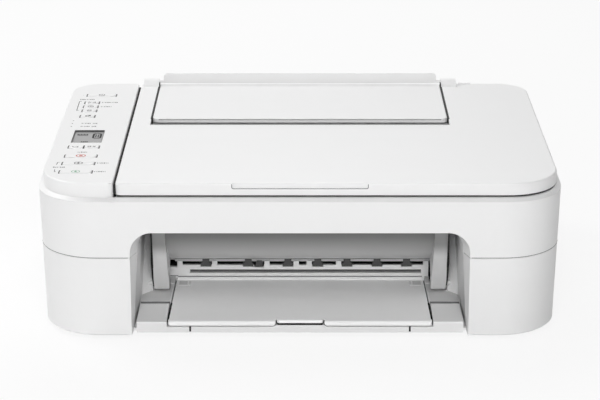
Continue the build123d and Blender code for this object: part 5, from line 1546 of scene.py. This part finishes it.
@dataclass
class Studio:
    """Pale floor, soft lamps and the camera at the photograph's angle; in metres and degrees."""

    camera_place: tuple[float, float, float] = (0.0, -1.750, 0.661)
    camera_tilt: float = 71.35
    camera_clip: Span = (0.05, 20.0)
    lens: float = 124.26
    sensor: float = 36.0
    floor_size: float = 6.0
    floor_level: float = 0.9
    floor_roughness: float = 0.9
    floor_glow: float = 0.86
    sky: float = 0.0
    lamp_size: float = 0.9
    lamp_distance: float = 2.2
    aim_height: float = 0.07
    lamps: tuple[tuple[str, float, float, float], ...] = (
        ("front window", 0.0, 25.0, 13.8), ("front low card", 0.0, 5.0, 5.6),
        ("front high window", 0.0, 42.0, 9.5), ("far left window", -85.0, 25.0, 8.0),
        ("high right window", 20.0, 50.0, 4.0), ("rear window", 180.0, 45.0, 14.5),
        ("rear left window", 240.0, 45.0, 17.0))

    def build(self) -> None:
        """Makes the floor, the world, the lamps and the camera."""
        self._floor()
        self._world()
        for name, azimuth, elevation, power in self.lamps:
            self._lamp(name, azimuth, elevation, power)
        self._camera()

    def _floor(self) -> None:
        """A large square that looks white to the camera and keeps the object's shadow."""
        half = self.floor_size / 2
        mesh = bpy.data.meshes.new("studio_floor")
        corners = [(-half, -half, 0), (half, -half, 0), (half, half, 0), (-half, half, 0)]
        mesh.from_pydata(corners, [], [(0, 1, 2, 3)])
        material, tree, shader = new_material("floor paper")
        shader.inputs["Base Color"].default_value = shade(WHITE, self.floor_level)
        shader.inputs["Roughness"].default_value = self.floor_roughness
        path = add_node(tree, "ShaderNodeLightPath")
        seen = add_node(tree, "ShaderNodeMath", operation="MAXIMUM")
        share = add_node(tree, "ShaderNodeMath", operation="MULTIPLY")
        share.inputs[1].default_value = self.floor_glow
        glow = add_node(tree, "ShaderNodeEmission", Strength=1.0, Color=shade(WHITE))
        mix = add_node(tree, "ShaderNodeMixShader")
        wire(tree,
             (path, "Is Camera Ray", seen, 0), (path, "Is Glossy Ray", seen, 1),
             (seen, 0, share, 0), (share, 0, mix, 0), (shader, 0, mix, 1), (glow, 0, mix, 2),
             (mix, 0, tree.nodes["Material Output"], "Surface"))
        mesh.materials.append(material)
        add_object("studio_floor", mesh)

    def _world(self) -> None:
        """A world that looks white to the camera, in reflections and through glass, and lights nothing."""
        world = bpy.data.worlds.new("studio")
        bpy.context.scene.world = world
        world.use_nodes = True
        tree = world.node_tree
        tree.nodes.clear()
        path = add_node(tree, "ShaderNodeLightPath")
        lit = add_node(tree, "ShaderNodeBackground", Strength=self.sky, Color=shade(WHITE))
        white = add_node(tree, "ShaderNodeBackground", Strength=1.0, Color=shade(WHITE))
        direct = add_node(tree, "ShaderNodeMath", operation="MAXIMUM")
        seen = add_node(tree, "ShaderNodeMath", operation="MAXIMUM")
        mix = add_node(tree, "ShaderNodeMixShader")
        out = add_node(tree, "ShaderNodeOutputWorld")
        wire(tree,
             (path, "Is Camera Ray", direct, 0), (path, "Is Glossy Ray", direct, 1),
             (direct, 0, seen, 0), (path, "Is Transmission Ray", seen, 1),
             (seen, 0, mix, 0), (lit, 0, mix, 1), (white, 0, mix, 2), (mix, 0, out, "Surface"))

    def _lamp(self, name: str, azimuth: float, elevation: float, power: float) -> None:
        """A square area lamp aimed at the printer from an even distance.

        Args:
            name: the lamp's name.
            azimuth: degrees from the front, positive to the right.
            elevation: degrees above the floor.
            power: its strength in watts.
        """
        data = bpy.data.lights.new(name, "AREA")
        data.shape = "SQUARE"
        data.size = self.lamp_size
        data.energy = power
        lamp = add_object(name, data)
        across, up = math.radians(azimuth), math.radians(elevation)
        reach = self.lamp_distance * math.cos(up)
        lamp.location = (reach * math.sin(across), -reach * math.cos(across),
                         self.aim_height + self.lamp_distance * math.sin(up))
        lamp.rotation_euler = (math.pi / 2 - up, 0.0, across)

    def _camera(self) -> None:
        """The camera that sees the printer as the photograph does."""
        data = bpy.data.cameras.new("camera")
        data.sensor_width = self.sensor
        data.lens = self.lens
        data.clip_start, data.clip_end = self.camera_clip
        camera = add_object("camera", data)
        camera.location = self.camera_place
        camera.rotation_euler = (math.radians(self.camera_tilt), 0.0, 0.0)
        bpy.context.scene.camera = camera


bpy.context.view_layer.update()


def main() -> None:
    """Builds the printer's looks and the studio, in order."""
    logging.basicConfig(level=logging.INFO, format="%(message)s")
    bpy.context.scene.view_settings.view_transform = "Standard"
    shop = Workshop()
    Wardrobe(shop, frame["nodes"]).dress()
    for assembly in (OperationPanel, TopJoints, OutputBay, ScrewSet, PrintUnit, Scanner):
        assembly(shop).build()
    Studio().build()


if __name__ == "__main__":
    main()
